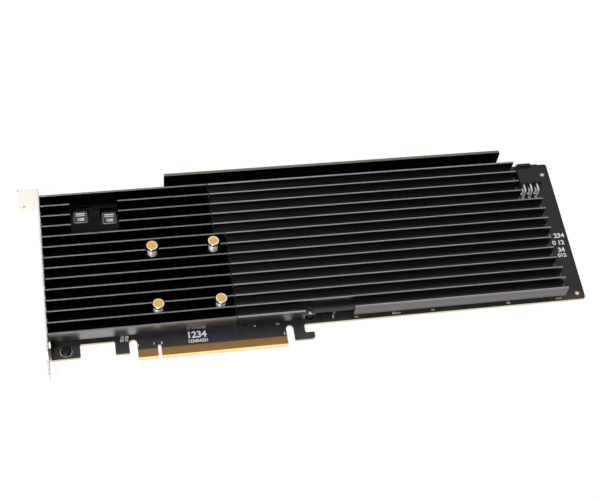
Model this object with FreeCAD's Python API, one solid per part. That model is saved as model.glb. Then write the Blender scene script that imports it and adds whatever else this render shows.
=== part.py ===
"""NVMe adapter card: a full-length plug-in card for eight M.2 drives under two finned heat sinks.

Millimetres. X runs along the finger edge, away from the mounting bracket. Y runs from the finger edge
up to the card's top edge. Z comes out of the component face. The origin is on the component face, at
the finger edge, on the centre line of the key notch.
"""
import FreeCAD
import Part
import math
import os

V = FreeCAD.Vector

# Circuit board
board_t = 1.57
board_left = -59.5
board_beyond_sink = 13.45
board_top = 111.15
shoulder_y = 12.75
board_left_corner_r = 0.8
board_top_corner_r = 1.5
board_bottom_corner_r = 2.0
tab_right = -43.6
tab_bottom = 4.5
tab_corner_r = 0.8
leg_left = -24.4
leg_bottom = 4.4
leg_corner_r = 0.5
gap_corner_r = 1.0

# Edge fingers: eleven contacts before the key notch and seventy-one after it
contact_pitch = 1.0
contact_w = 0.7
contact_t = 0.05
contact_top = 5.6
short_contact_step = 1.0
contacts_before_key = 11
contacts_after_key = 71
key_to_contact = 1.5
finger_side_margin = 0.65
finger_corner_r = 0.4
key_notch_w = 1.9
key_notch_top = 8.25
bevel_length = 1.3
bevel_depth = 0.45
front_notch_w = 4.5
front_notch_top = 12.7
rear_notch_w = 4.15
rear_notch_top = 12.8
hook_reach = 11.8
hook_bottom = 2.95
hook_corner_r = 0.5
hook_tip_r = 1.8
latch_slot_depth = 5.2
latch_slot_bottom = 7.4
latch_slot_bottom_r = 0.8
latch_slot_top_r = 1.2

# Plated holes at the far end, for a card guide, and the pads around the bracket screws
guide_hole_r = 0.7
guide_hole_ring_r = 1.3
guide_hole_end_inset = 4.4
guide_hole_upper_y = 103.3
guide_hole_lower_y = 16.7
bracket_pad_r = 3.4

# Mounting bracket, folded from one sheet
bracket_t = 0.86
bracket_outer_x = -61.4
bracket_low_z = -4.15
bracket_w = 18.42
bracket_lip_top_y = 110.0
bracket_height = 120.02
bracket_bend_r = 0.6
lip_length = 11.43
lip_w = 21.59
lip_corner_r = 1.0
lip_notch_w = 4.42
lip_notch_depth = 4.2
lip_notch_from_top = 14.8
lip_neck = 1.6
tail_w = 10.16
tail_length = 9.0
tail_taper = 4.0
tail_corner_r = 1.0
vent_count = 12
vent_pitch = 6.8
vent_first_y = 18.0
vent_h = 3.0
vent_w = 11.5
ear_reach = 14.0
ear_w = 8.0
ear_corner_r = 1.5
ear_screw_inset = 4.76
bracket_screw_lower_y = 8.96
bracket_screw_upper_y = 98.0

# Heat sinks, two lengths of one extruded fin profile
fin_count = 14
fin_pitch = 7.05
top_fin_from_edge = 5.05
fin_tip_t = 1.0
fin_root_t = 1.3
fin_tip_z = 12.5
skirt_foot_z = 3.4
switch_sink_left = -60.4
switch_sink_upper_right = 37.3
sink_step_w = 6.6
switch_deck_under_z = 3.8
switch_deck_t = 1.5
step_fin = 5
sink_gap = 0.6
drive_deck_under_z = 5.2
drive_deck_t = 1.7
last_drive_to_sink_end = 22.0
socket_notch_w = 12.0
socket_notch_fin = 4
end_recess_depth = 1.9
end_recess_first_fin = 8
end_recess_last_fin = 10

# Recess over the power inductors in the switch heat sink
recess_left = -43.5
recess_right = -16.0
recess_first_fin = 1
recess_last_fin = 3
fin_stub_h = 0.3
window_w = 10.6
window_h = 11.4
window_corner_r = 1.0
window_rise = 0.5
inductor_side = 8.1
inductor_h = 4.2
inductor_corner_r = 1.0
inductor_left_x = -37.8
inductor_left_from_wall = 11.7
inductor_right_x = -21.2
inductor_right_from_wall = 13.7
inductor_edge = 0.4

# Access cut in the lower wall of the drive heat sink
access_left = 83.0
access_right = 111.7
access_deck_left = 89.5
access_deck_back = 2.25
access_corner_r = 2.0
access_screw_x = 86.5
access_screw_from_wall = 3.35

# Spring pins that press the switch heat sink down
pin_left_x = 1.2
pin_span_x = 35.3
pin_lower_from_wall = 12.55
pin_span_y = 38.5
pin_head_r = 3.4
pin_head_t = 1.6
pin_head_top_z = 14.35
pin_head_edge = 0.25
pin_shank_r = 1.5
pin_barb_r = 2.0
pin_barb_h = 2.3
pin_tip_r = 0.9
pin_clear = 0.1
pin_pocket_r = 4.0
spring_r = 2.35
spring_wire_r = 0.35
spring_wire_sides = 8
spring_turns = 5
spring_clear = 0.02

# Switch chip under the first heat sink
chip_side = 33.0
chip_t = 1.6
lid_side = 27.0
paste_side = 24.0
paste_t = 0.15
lid_corner_r = 1.5

# Drive bays: eight M.2 connectors, posts and thermal pads, side by side
drive_count = 8
drive_pitch = 23.0
first_drive_from_sink = 12.0
connector_from_edge = 6.15
connector_d = 8.0
connector_gap = 1.1
connector_h = 4.2
connector_cheek_t = 0.95
connector_slot_t = 1.0
connector_slot_low_z = 2.35
connector_slot_d = 5.5
connector_key_x = 6.1
connector_key_w = 1.2
connector_edge = 0.4
post_from_mouth = 76.0
post_r = 2.6
post_h = 2.45
post_screw_head_r = 1.9
post_screw_head_h = 0.9
post_screw_r = 0.95
post_hole_clear = 0.05
post_hole_floor = 0.4
pad_gap = 3.0
pad_t = 0.8
pad_from_mouth = 3.0
pad_from_post = 5.0

# Heat-sink posts, cast on the drive deck, and their screws from the back
boss_r = 2.3
boss_from_wall = 3.05
boss_end_inset = 6.5
boss_step_inset = 3.3
boss_upper_from_top = 6.1
boss_mid_rise = 4.4
boss_first_inset = 3.5
sink_screw_r = 1.2
sink_screw_head_r = 2.2
sink_screw_head_h = 1.5
sink_screw_bite = 3.6
screw_clear = 0.05
screw_edge = 0.3

# Stiffening rail along the top edge
rail_left = 12.6
rail_short_of_sink = 19.5
rail_t = 1.7
rail_from_board = 1.35
rail_top_z = 14.4
rail_foot_w = 10.2
rail_end_chamfer = 1.0
rail_heel_r = 0.6
rail_screw_count = 5
rail_screw_end_inset = 10.0
rail_screw_from_top = 2.25
rail_screw_r = 1.25
rail_screw_head_r = 1.9
rail_screw_head_h = 1.4
rail_screw_bite = 1.5

# Bracket screws
bracket_screw_r = 1.45
bracket_screw_head_r = 3.0
bracket_screw_head_h = 1.7

# Power socket: six ways in two rows, lying on the board with its mouth towards the top edge
socket_from_sink = 1.9
socket_back_from_edge = 19.15
socket_length = 13.1
socket_w = 13.8
socket_foot_z = 0.0
socket_top_z = 9.6
socket_pitch = 4.2
socket_lower_z = 3.0
socket_cell = 3.3
socket_cell_d = 9.6
socket_cell_r = 0.5
latch_w = 9.2
latch_h = 1.7
latch_length = 1.8
latch_from_side = 0.2
latch_corner_r = 1.2
socket_pin_t = 1.07
socket_pin_short_of_mouth = 3.0
socket_pin_bend_r = 1.6
socket_pin_upper_reach = 4.6
socket_pin_lower_reach = 1.9
socket_pin_under = 1.0
socket_pin_clear = 0.02
socket_pin_hole_r = 0.85

# Small parts on the board
regulator_w = 6.0
regulator_d = 5.0
regulator_h = 0.9
regulator_below_inductor = 13.0
tank_w = 7.3
tank_d = 4.3
tank_h = 1.9
tank_count = 4
tank_pitch = 8.0
tank_x = -50.0
tank_first_y = 40.0
ceramic_w = 1.6
ceramic_d = 0.8
ceramic_h = 0.8
ceramic_pitch = 3.2
ceramic_rows = 9
ceramic_from_chip = 6.0
crystal_w = 3.2
crystal_d = 2.5
crystal_h = 0.8
crystal_x = -18.0
crystal_y = 36.0
edge_chip_y = 14.9
edge_chip_d = 2.6
edge_chip_h = 1.2
edge_chip_spans = [(93.2, 98.6), (101.8, 111.2)]
edge_capacitor_x = 100.2
edge_capacitor_w = 1.0
edge_capacitor_d = 1.8

# Places worked out from the sizes above
leg_right = -(key_to_contact + (contacts_before_key - 1) * contact_pitch + finger_side_margin) - front_notch_w
finger_left = leg_right + front_notch_w
finger_right = key_to_contact + (contacts_after_key - 1) * contact_pitch + finger_side_margin
hook_left = finger_right + rear_notch_w
hook_right = hook_left + hook_reach
latch_slot_left = hook_right - latch_slot_depth
bracket_inner_x = bracket_outer_x + bracket_t
bracket_high_z = bracket_low_z + bracket_w
bracket_tail_y = bracket_lip_top_y - bracket_height
lip_notch_z = bracket_high_z - lip_notch_from_top
bracket_screw_x = bracket_inner_x + ear_reach - ear_screw_inset
switch_deck_z = switch_deck_under_z + switch_deck_t
switch_sink_lower_right = switch_sink_upper_right + sink_step_w
drive_deck_z = drive_deck_under_z + drive_deck_t
drive_sink_upper_left = switch_sink_upper_right + sink_gap
drive_sink_lower_left = switch_sink_lower_right + sink_gap
drive_row_length = first_drive_from_sink + (drive_count - 1) * drive_pitch + last_drive_to_sink_end
drive_sink_right = drive_sink_lower_left + drive_row_length
drive_sink_upper_right = drive_sink_right - socket_notch_w
board_right = drive_sink_right + board_beyond_sink
guide_hole_x = board_right - guide_hole_end_inset
top_fin_y = board_top - top_fin_from_edge
sink_top_y = top_fin_y + fin_tip_t / 2
sink_bottom_y = top_fin_y - (fin_count - 1) * fin_pitch - fin_tip_t / 2
pin_lower_y = sink_bottom_y + pin_lower_from_wall
pin_places = [(pin_left_x + i * pin_span_x, pin_lower_y + j * pin_span_y) for i in (0, 1) for j in (0, 1)]
chip_x = pin_left_x + pin_span_x / 2
chip_y = pin_lower_y + pin_span_y / 2
connector_top_y = board_top - connector_from_edge
connector_mouth_y = connector_top_y - connector_d
post_y = connector_mouth_y - post_from_mouth
connector_w = drive_pitch - connector_gap
connector_slot_w = connector_w - 2 * connector_cheek_t
pad_w = drive_pitch - pad_gap
rail_inner_y = board_top + rail_from_board
rail_outer_y = rail_inner_y + rail_t
rail_foot_z = -board_t - rail_t
rail_right = drive_sink_right - rail_short_of_sink
rail_screw_y = board_top - rail_screw_from_top
socket_back_y = board_top - socket_back_from_edge
socket_mouth_y = socket_back_y + socket_length
socket_x = drive_sink_upper_right + socket_from_sink + socket_w / 2
bracket_screw_places = [(bracket_screw_x, bracket_screw_lower_y), (bracket_screw_x, bracket_screw_upper_y)]
access_deck_y = sink_bottom_y + access_deck_back
access_screw_y = sink_bottom_y + access_screw_from_wall
inductor_places = [
    (inductor_left_x, sink_top_y - inductor_left_from_wall),
    (inductor_right_x, sink_top_y - inductor_right_from_wall),
]
guide_hole_places = [(guide_hole_x, guide_hole_lower_y), (guide_hole_x, guide_hole_upper_y)]


def fin_y(number):
    """Middle line of a fin, counted from the top edge of the card."""
    return top_fin_y - number * fin_pitch


def drive_x(number):
    """Middle line of a drive bay, counted from the bracket."""
    return drive_sink_lower_left + first_drive_from_sink + number * drive_pitch


step_y = fin_y(step_fin) + fin_root_t / 2
lower_boss_y = sink_bottom_y + boss_from_wall
boss_places = [
    (drive_sink_upper_left + boss_step_inset, sink_top_y - boss_upper_from_top),
    (drive_sink_upper_left + boss_step_inset, step_y + boss_mid_rise + sink_gap),
    (drive_sink_lower_left + boss_first_inset, lower_boss_y),
    (drive_x(3) + drive_pitch / 2, lower_boss_y),
    (drive_x(6) + drive_pitch / 2, lower_boss_y),
    (drive_sink_right - boss_end_inset, lower_boss_y),
    (drive_sink_right - boss_end_inset, step_y - boss_r),
]
rail_screw_span = rail_right - rail_left - 2 * rail_screw_end_inset
rail_screw_places = [
    (rail_left + rail_screw_end_inset + rail_screw_span * i / (rail_screw_count - 1), rail_screw_y)
    for i in range(rail_screw_count)
]


def box(x0, x1, y0, y1, z0, z1):
    return Part.makeBox(x1 - x0, y1 - y0, z1 - z0, V(x0, y0, z0))


def rod(x, y, z0, z1, radius):
    return Part.makeCylinder(radius, z1 - z0, V(x, y, z0))


def rounded_wire(corners, place):
    """Closed wire through corners given as (u, v, radius); place turns (u, v) into a point in space."""
    edges = []
    ends = []
    for i, (u, v, radius) in enumerate(corners):
        here = V(u, v, 0)
        before = V(corners[i - 1][0], corners[i - 1][1], 0) - here
        after_corner = corners[(i + 1) % len(corners)]
        after = V(after_corner[0], after_corner[1], 0) - here
        if radius == 0:
            ends.append((here, here, None))
            continue
        before.normalize()
        after.normalize()
        half = before.getAngle(after) / 2
        inward = before + after
        inward.normalize()
        reach = radius / math.tan(half)
        crown = here + inward * (radius / math.sin(half) - radius)
        ends.append((here + before * reach, here + after * reach, crown))
    for i, (start, end, crown) in enumerate(ends):
        if crown is not None:
            points = [place(p.x, p.y) for p in (start, crown, end)]
            edges.append(Part.Arc(*points).toShape())
        following = ends[(i + 1) % len(ends)][0]
        if end.distanceToPoint(following) > 1e-6:
            edges.append(Part.makeLine(place(end.x, end.y), place(following.x, following.y)))
    return Part.Wire(edges)


def flat_plate(corners, z0, z1):
    """Plate lying along the board, from an outline of (x, y, corner radius)."""
    wire = rounded_wire(corners, lambda x, y: V(x, y, z0))
    return Part.Face(wire).extrude(V(0, 0, z1 - z0))


def upright_plate(corners, x0, x1):
    """Plate standing across the card, from an outline of (y, z, corner radius)."""
    wire = rounded_wire(corners, lambda y, z: V(x0, y, z))
    return Part.Face(wire).extrude(V(x1 - x0, 0, 0))


def rounded_block(x, y, width, depth, z0, z1, radius):
    """Block with rounded upright edges, centred on x and y."""
    west, east = x - width / 2, x + width / 2
    south, north = y - depth / 2, y + depth / 2
    corners = [(west, south, radius), (east, south, radius), (east, north, radius), (west, north, radius)]
    return flat_plate(corners, z0, z1)


def turned(x, y, profile):
    """Solid of revolution about an upright axis, from a profile of (radius, z)."""
    points = [V(x + radius, y, z) for radius, z in profile]
    face = Part.Face(Part.makePolygon(points + points[:1]))
    return face.revolve(V(x, y, 0), V(0, 0, 1), 360)


def ring(x, y, z0, z1, outer_r, inner_r):
    return rod(x, y, z0, z1, outer_r).cut(rod(x, y, z0, z1, inner_r))


def screw(x, y, seat_z, way, head_r, head_h, shank_r, shank_length):
    """Pan-head screw; way is 1 when the head stands above its seat and -1 when it hangs below."""
    profile = [
        (0, seat_z - way * shank_length),
        (shank_r, seat_z - way * shank_length),
        (shank_r, seat_z),
        (head_r, seat_z),
        (head_r, seat_z + way * (head_h - screw_edge)),
        (head_r - screw_edge, seat_z + way * head_h),
        (0, seat_z + way * head_h),
    ]
    return turned(x, y, profile)


def save(name, *solids):
    shape = solids[0] if len(solids) == 1 else Part.makeCompound(list(solids))
    shape.exportStep(os.path.join("parts", name + ".step"))


def contact_xs():
    """Middle lines of the edge contacts, from contact 1 beside the bracket to contact 82."""
    before = [-key_to_contact - i * contact_pitch for i in reversed(range(contacts_before_key))]
    after = [key_to_contact + i * contact_pitch for i in range(contacts_after_key)]
    return before + after


def board_outline():
    return [
        (board_left, board_top, board_left_corner_r),
        (board_left, tab_bottom, tab_corner_r),
        (tab_right, tab_bottom, tab_corner_r),
        (tab_right, shoulder_y, gap_corner_r),
        (leg_left, shoulder_y, gap_corner_r),
        (leg_left, leg_bottom, leg_corner_r),
        (leg_right, leg_bottom, leg_corner_r),
        (leg_right, front_notch_top, front_notch_w / 2),
        (finger_left, front_notch_top, front_notch_w / 2),
        (finger_left, 0, finger_corner_r),
        (-key_notch_w / 2, 0, finger_corner_r),
        (-key_notch_w / 2, key_notch_top, key_notch_w / 2),
        (key_notch_w / 2, key_notch_top, key_notch_w / 2),
        (key_notch_w / 2, 0, finger_corner_r),
        (finger_right, 0, finger_corner_r),
        (finger_right, rear_notch_top, rear_notch_w / 2),
        (hook_left, rear_notch_top, rear_notch_w / 2),
        (hook_left, hook_bottom, hook_corner_r),
        (hook_right, hook_bottom, hook_tip_r),
        (hook_right, latch_slot_bottom, hook_corner_r),
        (latch_slot_left, latch_slot_bottom, latch_slot_bottom_r),
        (latch_slot_left, shoulder_y, latch_slot_top_r),
        (board_right, shoulder_y, board_bottom_corner_r),
        (board_right, board_top, board_top_corner_r),
    ]


def edge_bevel(face_z, way):
    """Wedge cut off the finger edge on one face of the board."""
    corners = [
        V(finger_left - 1, bevel_length, face_z),
        V(finger_left - 1, -bevel_length, face_z - 2 * way * bevel_depth),
        V(finger_left - 1, -bevel_length, face_z),
    ]
    face = Part.Face(Part.makePolygon(corners + corners[:1]))
    return face.extrude(V(finger_right - finger_left + 2, 0, 0))


def circuit_board():
    board = flat_plate(board_outline(), -board_t, 0)
    drills = [rod(x, y, -board_t, 0, pin_shank_r + pin_clear) for x, y in pin_places]
    drills += [rod(x, y, -board_t, 0, bracket_screw_r + screw_clear) for x, y in bracket_screw_places]
    drills += [rod(x, y, -board_t, 0, guide_hole_r) for x, y in guide_hole_places]
    drills += [rod(x, y, -board_t, 0, sink_screw_r + screw_clear) for x, y in boss_places]
    drills += [rod(x, y, -board_t, 0, rail_screw_r + screw_clear) for x, y in rail_screw_places]
    drills += [rod(x, y, -board_t, 0, socket_pin_hole_r) for x, y in socket_pin_feet()]
    return board.cut(drills + [edge_bevel(0, 1), edge_bevel(-board_t, -1)])


def contacts(z0, short_numbers):
    """Gold fingers on one face; the presence contacts start a step higher."""
    pads = []
    for number, x in enumerate(contact_xs(), start=1):
        bottom = bevel_length + (short_contact_step if number in short_numbers else 0)
        pads.append(box(x - contact_w / 2, x + contact_w / 2, bottom, contact_top, z0, z0 + contact_t))
    return pads


def plated_rings():
    rings = [
        ring(x, y, 0, contact_t, bracket_pad_r, bracket_screw_r + screw_clear)
        for x, y in bracket_screw_places
    ]
    for x, y in guide_hole_places:
        rings.append(ring(x, y, 0, contact_t, guide_hole_ring_r, guide_hole_r))
        rings.append(ring(x, y, -board_t - contact_t, -board_t, guide_hole_ring_r, guide_hole_r))
    return rings


def bracket_face():
    """Upright sheet with its tapered tail."""
    middle = bracket_low_z + bracket_w / 2
    tail_low, tail_high = middle - tail_w / 2, middle + tail_w / 2
    neck_y = bracket_tail_y + tail_length
    return [
        (bracket_lip_top_y - bracket_t, bracket_low_z, 0),
        (neck_y + tail_taper, bracket_low_z, tail_corner_r),
        (neck_y, tail_low, tail_corner_r),
        (bracket_tail_y, tail_low, tail_corner_r),
        (bracket_tail_y, tail_high, tail_corner_r),
        (neck_y, tail_high, tail_corner_r),
        (neck_y + tail_taper, bracket_high_z, tail_corner_r),
        (bracket_lip_top_y - bracket_t, bracket_high_z, 0),
    ]


def bracket_lip():
    """Lip across the top, wider than the sheet below, with a screw notch open to its outer edge."""
    outer_x = bracket_outer_x - lip_length
    low_z = bracket_high_z - lip_w
    notch_high = lip_notch_z + lip_notch_w / 2
    notch_low = lip_notch_z - lip_notch_w / 2
    notch_x = outer_x + lip_notch_depth
    neck_x = bracket_outer_x - lip_neck
    corners = [
        (bracket_inner_x, bracket_high_z, 0),
        (outer_x, bracket_high_z, lip_corner_r),
        (outer_x, notch_high, 0),
        (notch_x, notch_high, lip_notch_w / 2),
        (notch_x, notch_low, lip_notch_w / 2),
        (outer_x, notch_low, 0),
        (outer_x, low_z, lip_corner_r),
        (neck_x, low_z, lip_corner_r),
        (neck_x, bracket_low_z, 0),
        (bracket_inner_x, bracket_low_z, 0),
    ]
    wire = rounded_wire(corners, lambda x, z: V(x, bracket_lip_top_y - bracket_t, z))
    return Part.Face(wire).extrude(V(0, bracket_t, 0))


def bracket_ear(y):
    """Ear folded back behind the board, drilled for a bracket screw."""
    corners = [
        (bracket_inner_x, y - ear_w / 2, 0),
        (bracket_inner_x + ear_reach, y - ear_w / 2, ear_corner_r),
        (bracket_inner_x + ear_reach, y + ear_w / 2, ear_corner_r),
        (bracket_inner_x, y + ear_w / 2, 0),
    ]
    ear = flat_plate(corners, -board_t - bracket_t, -board_t)
    return ear.cut(rod(bracket_screw_x, y, -board_t - bracket_t, -board_t, bracket_screw_r + screw_clear))


def bracket_vent(number):
    """Long air slot across the bracket."""
    y = vent_first_y + number * vent_pitch
    middle = bracket_low_z + bracket_w / 2
    corners = [
        (y - vent_h / 2, middle - vent_w / 2, vent_h / 2),
        (y + vent_h / 2, middle - vent_w / 2, vent_h / 2),
        (y + vent_h / 2, middle + vent_w / 2, vent_h / 2),
        (y - vent_h / 2, middle + vent_w / 2, vent_h / 2),
    ]
    return upright_plate(corners, bracket_outer_x, bracket_inner_x)


def mounting_bracket():
    sheet = upright_plate(bracket_face(), bracket_outer_x, bracket_inner_x)
    ears = [bracket_ear(y) for x, y in bracket_screw_places]
    bracket = sheet.fuse([bracket_lip()] + ears).removeSplitter()
    bend = [
        edge
        for edge in bracket.Edges
        if all(abs(v.X - bracket_inner_x) + abs(v.Y - bracket_lip_top_y) < 1e-6 for v in edge.Vertexes)
    ]
    bracket = bracket.makeFillet(bracket_bend_r, bend)
    return bracket.cut([bracket_vent(i) for i in range(vent_count)])


def fin_comb(left, right, under_z, deck_z):
    """Length of heat sink: upright fins on a deck, with the two outer fins going down as skirts."""
    outline = [(sink_bottom_y, skirt_foot_z), (sink_bottom_y, fin_tip_z)]
    for number in reversed(range(fin_count)):
        middle = fin_y(number)
        if number < fin_count - 1:
            outline += [(middle - fin_root_t / 2, deck_z), (middle - fin_tip_t / 2, fin_tip_z)]
        if number > 0:
            outline += [(middle + fin_tip_t / 2, fin_tip_z), (middle + fin_root_t / 2, deck_z)]
    upper_skirt_y = sink_top_y - fin_root_t
    lower_skirt_y = sink_bottom_y + fin_root_t
    outline += [
        (sink_top_y, fin_tip_z),
        (sink_top_y, skirt_foot_z),
        (upper_skirt_y, skirt_foot_z),
        (upper_skirt_y, under_z),
        (lower_skirt_y, under_z),
        (lower_skirt_y, skirt_foot_z),
    ]
    points = [V(left, y, z) for y, z in outline]
    face = Part.Face(Part.makePolygon(points + points[:1]))
    return face.extrude(V(right - left, 0, 0))


def inductor_window(x, y):
    middle_y = y + window_rise
    return rounded_block(x, middle_y, window_w, window_h, switch_deck_under_z, fin_tip_z, window_corner_r)


def switch_heat_sink():
    sink = fin_comb(switch_sink_left, switch_sink_lower_right, switch_deck_under_z, switch_deck_z)
    recess_low_y = fin_y(recess_last_fin + 1) + fin_root_t / 2
    recess_high_y = fin_y(recess_first_fin - 1) - fin_root_t / 2
    cuts = [
        box(switch_sink_upper_right, switch_sink_lower_right, step_y, sink_top_y, skirt_foot_z, fin_tip_z),
        box(recess_left, recess_right, recess_low_y, recess_high_y, switch_deck_z + fin_stub_h, fin_tip_z),
    ]
    cuts += [inductor_window(x, y) for x, y in inductor_places]
    cuts += [rod(x, y, switch_deck_z, fin_tip_z, pin_pocket_r) for x, y in pin_places]
    cuts += [rod(x, y, switch_deck_under_z, switch_deck_z, pin_shank_r + pin_clear) for x, y in pin_places]
    return sink.cut(cuts)


def access_cut():
    """Opening in the lower wall, with the deck cut back behind it."""
    wall = box(access_left, access_right, sink_bottom_y, sink_bottom_y + fin_root_t, skirt_foot_z, fin_tip_z)
    corners = [
        (access_deck_left, sink_bottom_y, 0),
        (access_right, sink_bottom_y, 0),
        (access_right, access_deck_y, access_corner_r),
        (access_deck_left, access_deck_y, access_corner_r),
    ]
    return [wall, flat_plate(corners, skirt_foot_z, drive_deck_z)]


def drive_heat_sink():
    sink = fin_comb(drive_sink_upper_left, drive_sink_right, drive_deck_under_z, drive_deck_z)
    notch_y = fin_y(socket_notch_fin) + fin_root_t / 2
    end_low_y = fin_y(end_recess_last_fin) - fin_pitch / 2
    end_high_y = fin_y(end_recess_first_fin) + fin_pitch / 2
    end_x = drive_sink_right - end_recess_depth
    cuts = [
        box(drive_sink_upper_left, drive_sink_lower_left, sink_bottom_y, step_y + sink_gap, skirt_foot_z, fin_tip_z),
        box(drive_sink_upper_right, drive_sink_right, notch_y, sink_top_y, skirt_foot_z, fin_tip_z),
        box(end_x, drive_sink_right, end_low_y, end_high_y, skirt_foot_z, fin_tip_z),
        rod(access_screw_x, access_screw_y, drive_deck_under_z, drive_deck_z, sink_screw_r + screw_clear),
    ]
    bosses = [rod(x, y, 0, drive_deck_under_z + drive_deck_t / 2, boss_r) for x, y in boss_places]
    thread_depth = sink_screw_bite + screw_clear
    threads = [rod(x, y, 0, thread_depth, sink_screw_r + screw_clear) for x, y in boss_places]
    return sink.cut(cuts + access_cut()).fuse(bosses).cut(threads)


def push_pin(x, y):
    """Brass spring pin: flat head, plain shank, and a barbed tip that snaps through the board."""
    head_under_z = pin_head_top_z - pin_head_t
    barb_z = -board_t
    profile = [
        (0, barb_z - pin_barb_h),
        (pin_tip_r, barb_z - pin_barb_h),
        (pin_barb_r, barb_z),
        (pin_shank_r, barb_z),
        (pin_shank_r, head_under_z),
        (pin_head_r, head_under_z),
        (pin_head_r, pin_head_top_z - pin_head_edge),
        (pin_head_r - pin_head_edge, pin_head_top_z),
        (0, pin_head_top_z),
    ]
    return turned(x, y, profile)


def pin_spring(x, y):
    """Coil spring round a pin, between the heat-sink deck and the pin's head; its wire has flat sides."""
    low_z = switch_deck_z + spring_wire_r + spring_clear
    high_z = pin_head_top_z - pin_head_t - spring_wire_r - spring_clear
    pitch = (high_z - low_z) / spring_turns
    path = Part.Wire(Part.makeHelix(pitch, high_z - low_z, spring_r).Edges)
    along = V(0, 2 * math.pi * spring_r, pitch)
    along.normalize()
    outward = V(1, 0, 0)
    upward = outward.cross(along)
    corners = []
    for i in range(spring_wire_sides):
        angle = 2 * math.pi * i / spring_wire_sides
        across = outward * math.cos(angle) + upward * math.sin(angle)
        corners.append(outward * spring_r + across * spring_wire_r)
    section = Part.makePolygon(corners + corners[:1])
    spring = path.makePipeShell([section], True, True)
    spring.translate(V(x, y, low_z))
    return spring


def power_inductor(x, y):
    """Moulded choke with a softened top edge."""
    body = rounded_block(x, y, inductor_side, inductor_side, 0, inductor_h, inductor_corner_r)
    top_edges = [edge for edge in body.Edges if all(abs(v.Z - inductor_h) < 1e-6 for v in edge.Vertexes)]
    return body.makeChamfer(inductor_edge, top_edges)


def m2_connector(number):
    """Low edge socket; its mouth faces down the bay and has the key wall."""
    x = drive_x(number)
    slot_high_z = connector_slot_low_z + connector_slot_t
    slot_end_y = connector_mouth_y + connector_slot_d
    profile = [
        (connector_mouth_y, 0, 0),
        (connector_top_y, 0, 0),
        (connector_top_y, connector_h - connector_edge, 0),
        (connector_top_y - connector_edge, connector_h, 0),
        (connector_mouth_y + connector_edge, connector_h, 0),
        (connector_mouth_y, connector_h - connector_edge, 0),
    ]
    body = upright_plate(profile, x - connector_w / 2, x + connector_w / 2)
    key_left = x + connector_key_x - connector_key_w / 2
    slots = [
        (x - connector_slot_w / 2, key_left),
        (key_left + connector_key_w, x + connector_slot_w / 2),
    ]
    return body.cut([
        box(low_x, high_x, connector_mouth_y, slot_end_y, connector_slot_low_z, slot_high_z)
        for low_x, high_x in slots
    ])


def m2_post(number):
    """Threaded post that a drive's far end is screwed down on."""
    x = drive_x(number)
    hole = rod(x, post_y, post_hole_floor, post_h, post_screw_r + post_hole_clear)
    return rod(x, post_y, 0, post_h, post_r).cut(hole)


def m2_post_screw(number):
    length = post_h - post_hole_floor - post_hole_clear
    return screw(drive_x(number), post_y, post_h, 1, post_screw_head_r, post_screw_head_h, post_screw_r, length)


def drive_pad(number):
    """Thermal pad stuck under the drive heat sink."""
    x = drive_x(number)
    return box(
        x - pad_w / 2,
        x + pad_w / 2,
        post_y + pad_from_post,
        connector_mouth_y - pad_from_mouth,
        drive_deck_under_z - pad_t,
        drive_deck_under_z,
    )


def top_rail():
    """Angle section: a web beyond the board's top edge and a foot behind the board."""
    profile = [
        (rail_outer_y - rail_foot_w, rail_foot_z, 0),
        (rail_outer_y, rail_foot_z, rail_heel_r),
        (rail_outer_y, rail_top_z, 0),
        (rail_inner_y, rail_top_z, 0),
        (rail_inner_y, -board_t, 0),
        (rail_outer_y - rail_foot_w, -board_t, 0),
    ]
    rail = upright_plate(profile, rail_left, rail_right)
    corner = [
        V(rail_right, rail_inner_y, rail_top_z),
        V(rail_right - rail_end_chamfer, rail_inner_y, rail_top_z),
        V(rail_right, rail_inner_y, rail_top_z - rail_end_chamfer),
    ]
    corner_cut = Part.Face(Part.makePolygon(corner + corner[:1])).extrude(V(0, rail_t, 0))
    depth = rail_screw_bite + screw_clear
    holes = [rod(x, y, -board_t - depth, -board_t, rail_screw_r + screw_clear) for x, y in rail_screw_places]
    return rail.cut([corner_cut] + holes)


def socket_pin_xs():
    return [socket_x + (i - 1) * socket_pitch for i in range(3)]


def socket_pin_rows():
    """Height of each row, and how far behind the housing its tails come down."""
    return [
        (socket_lower_z, socket_pin_lower_reach),
        (socket_lower_z + socket_pitch, socket_pin_upper_reach),
    ]


def socket_pin_feet():
    return [(x, socket_back_y - reach) for x in socket_pin_xs() for z, reach in socket_pin_rows()]


def power_socket():
    """Moulded housing with a cell for each way and a latch ledge on top, at its mouth."""
    west, east = socket_x - socket_w / 2, socket_x + socket_w / 2
    body = box(west, east, socket_back_y, socket_mouth_y, socket_foot_z, socket_top_z)
    ledge_high_z = socket_top_z + latch_h
    ledge_corners = [
        (west + latch_from_side, socket_top_z, 0),
        (west + latch_from_side + latch_w, socket_top_z, 0),
        (west + latch_from_side + latch_w, ledge_high_z, latch_corner_r),
        (west + latch_from_side, ledge_high_z, latch_corner_r),
    ]
    ledge_wire = rounded_wire(ledge_corners, lambda u, w: V(u, socket_mouth_y, w))
    ledge = Part.Face(ledge_wire).extrude(V(0, -latch_length, 0))
    half = socket_cell / 2
    cuts = []
    for x in socket_pin_xs():
        for z, reach in socket_pin_rows():
            corners = [
                (x - half, z - half, socket_cell_r),
                (x + half, z - half, socket_cell_r),
                (x + half, z + half, socket_cell_r),
                (x - half, z + half, socket_cell_r),
            ]
            wire = rounded_wire(corners, lambda u, w: V(u, socket_mouth_y, w))
            cuts.append(Part.Face(wire).extrude(V(0, -socket_cell_d, 0)))
            slot = socket_pin_t / 2 + socket_pin_clear
            cuts.append(box(x - slot, x + slot, socket_back_y, socket_mouth_y, z - slot, z + slot))
    return body.fuse(ledge).cut(cuts)


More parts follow.
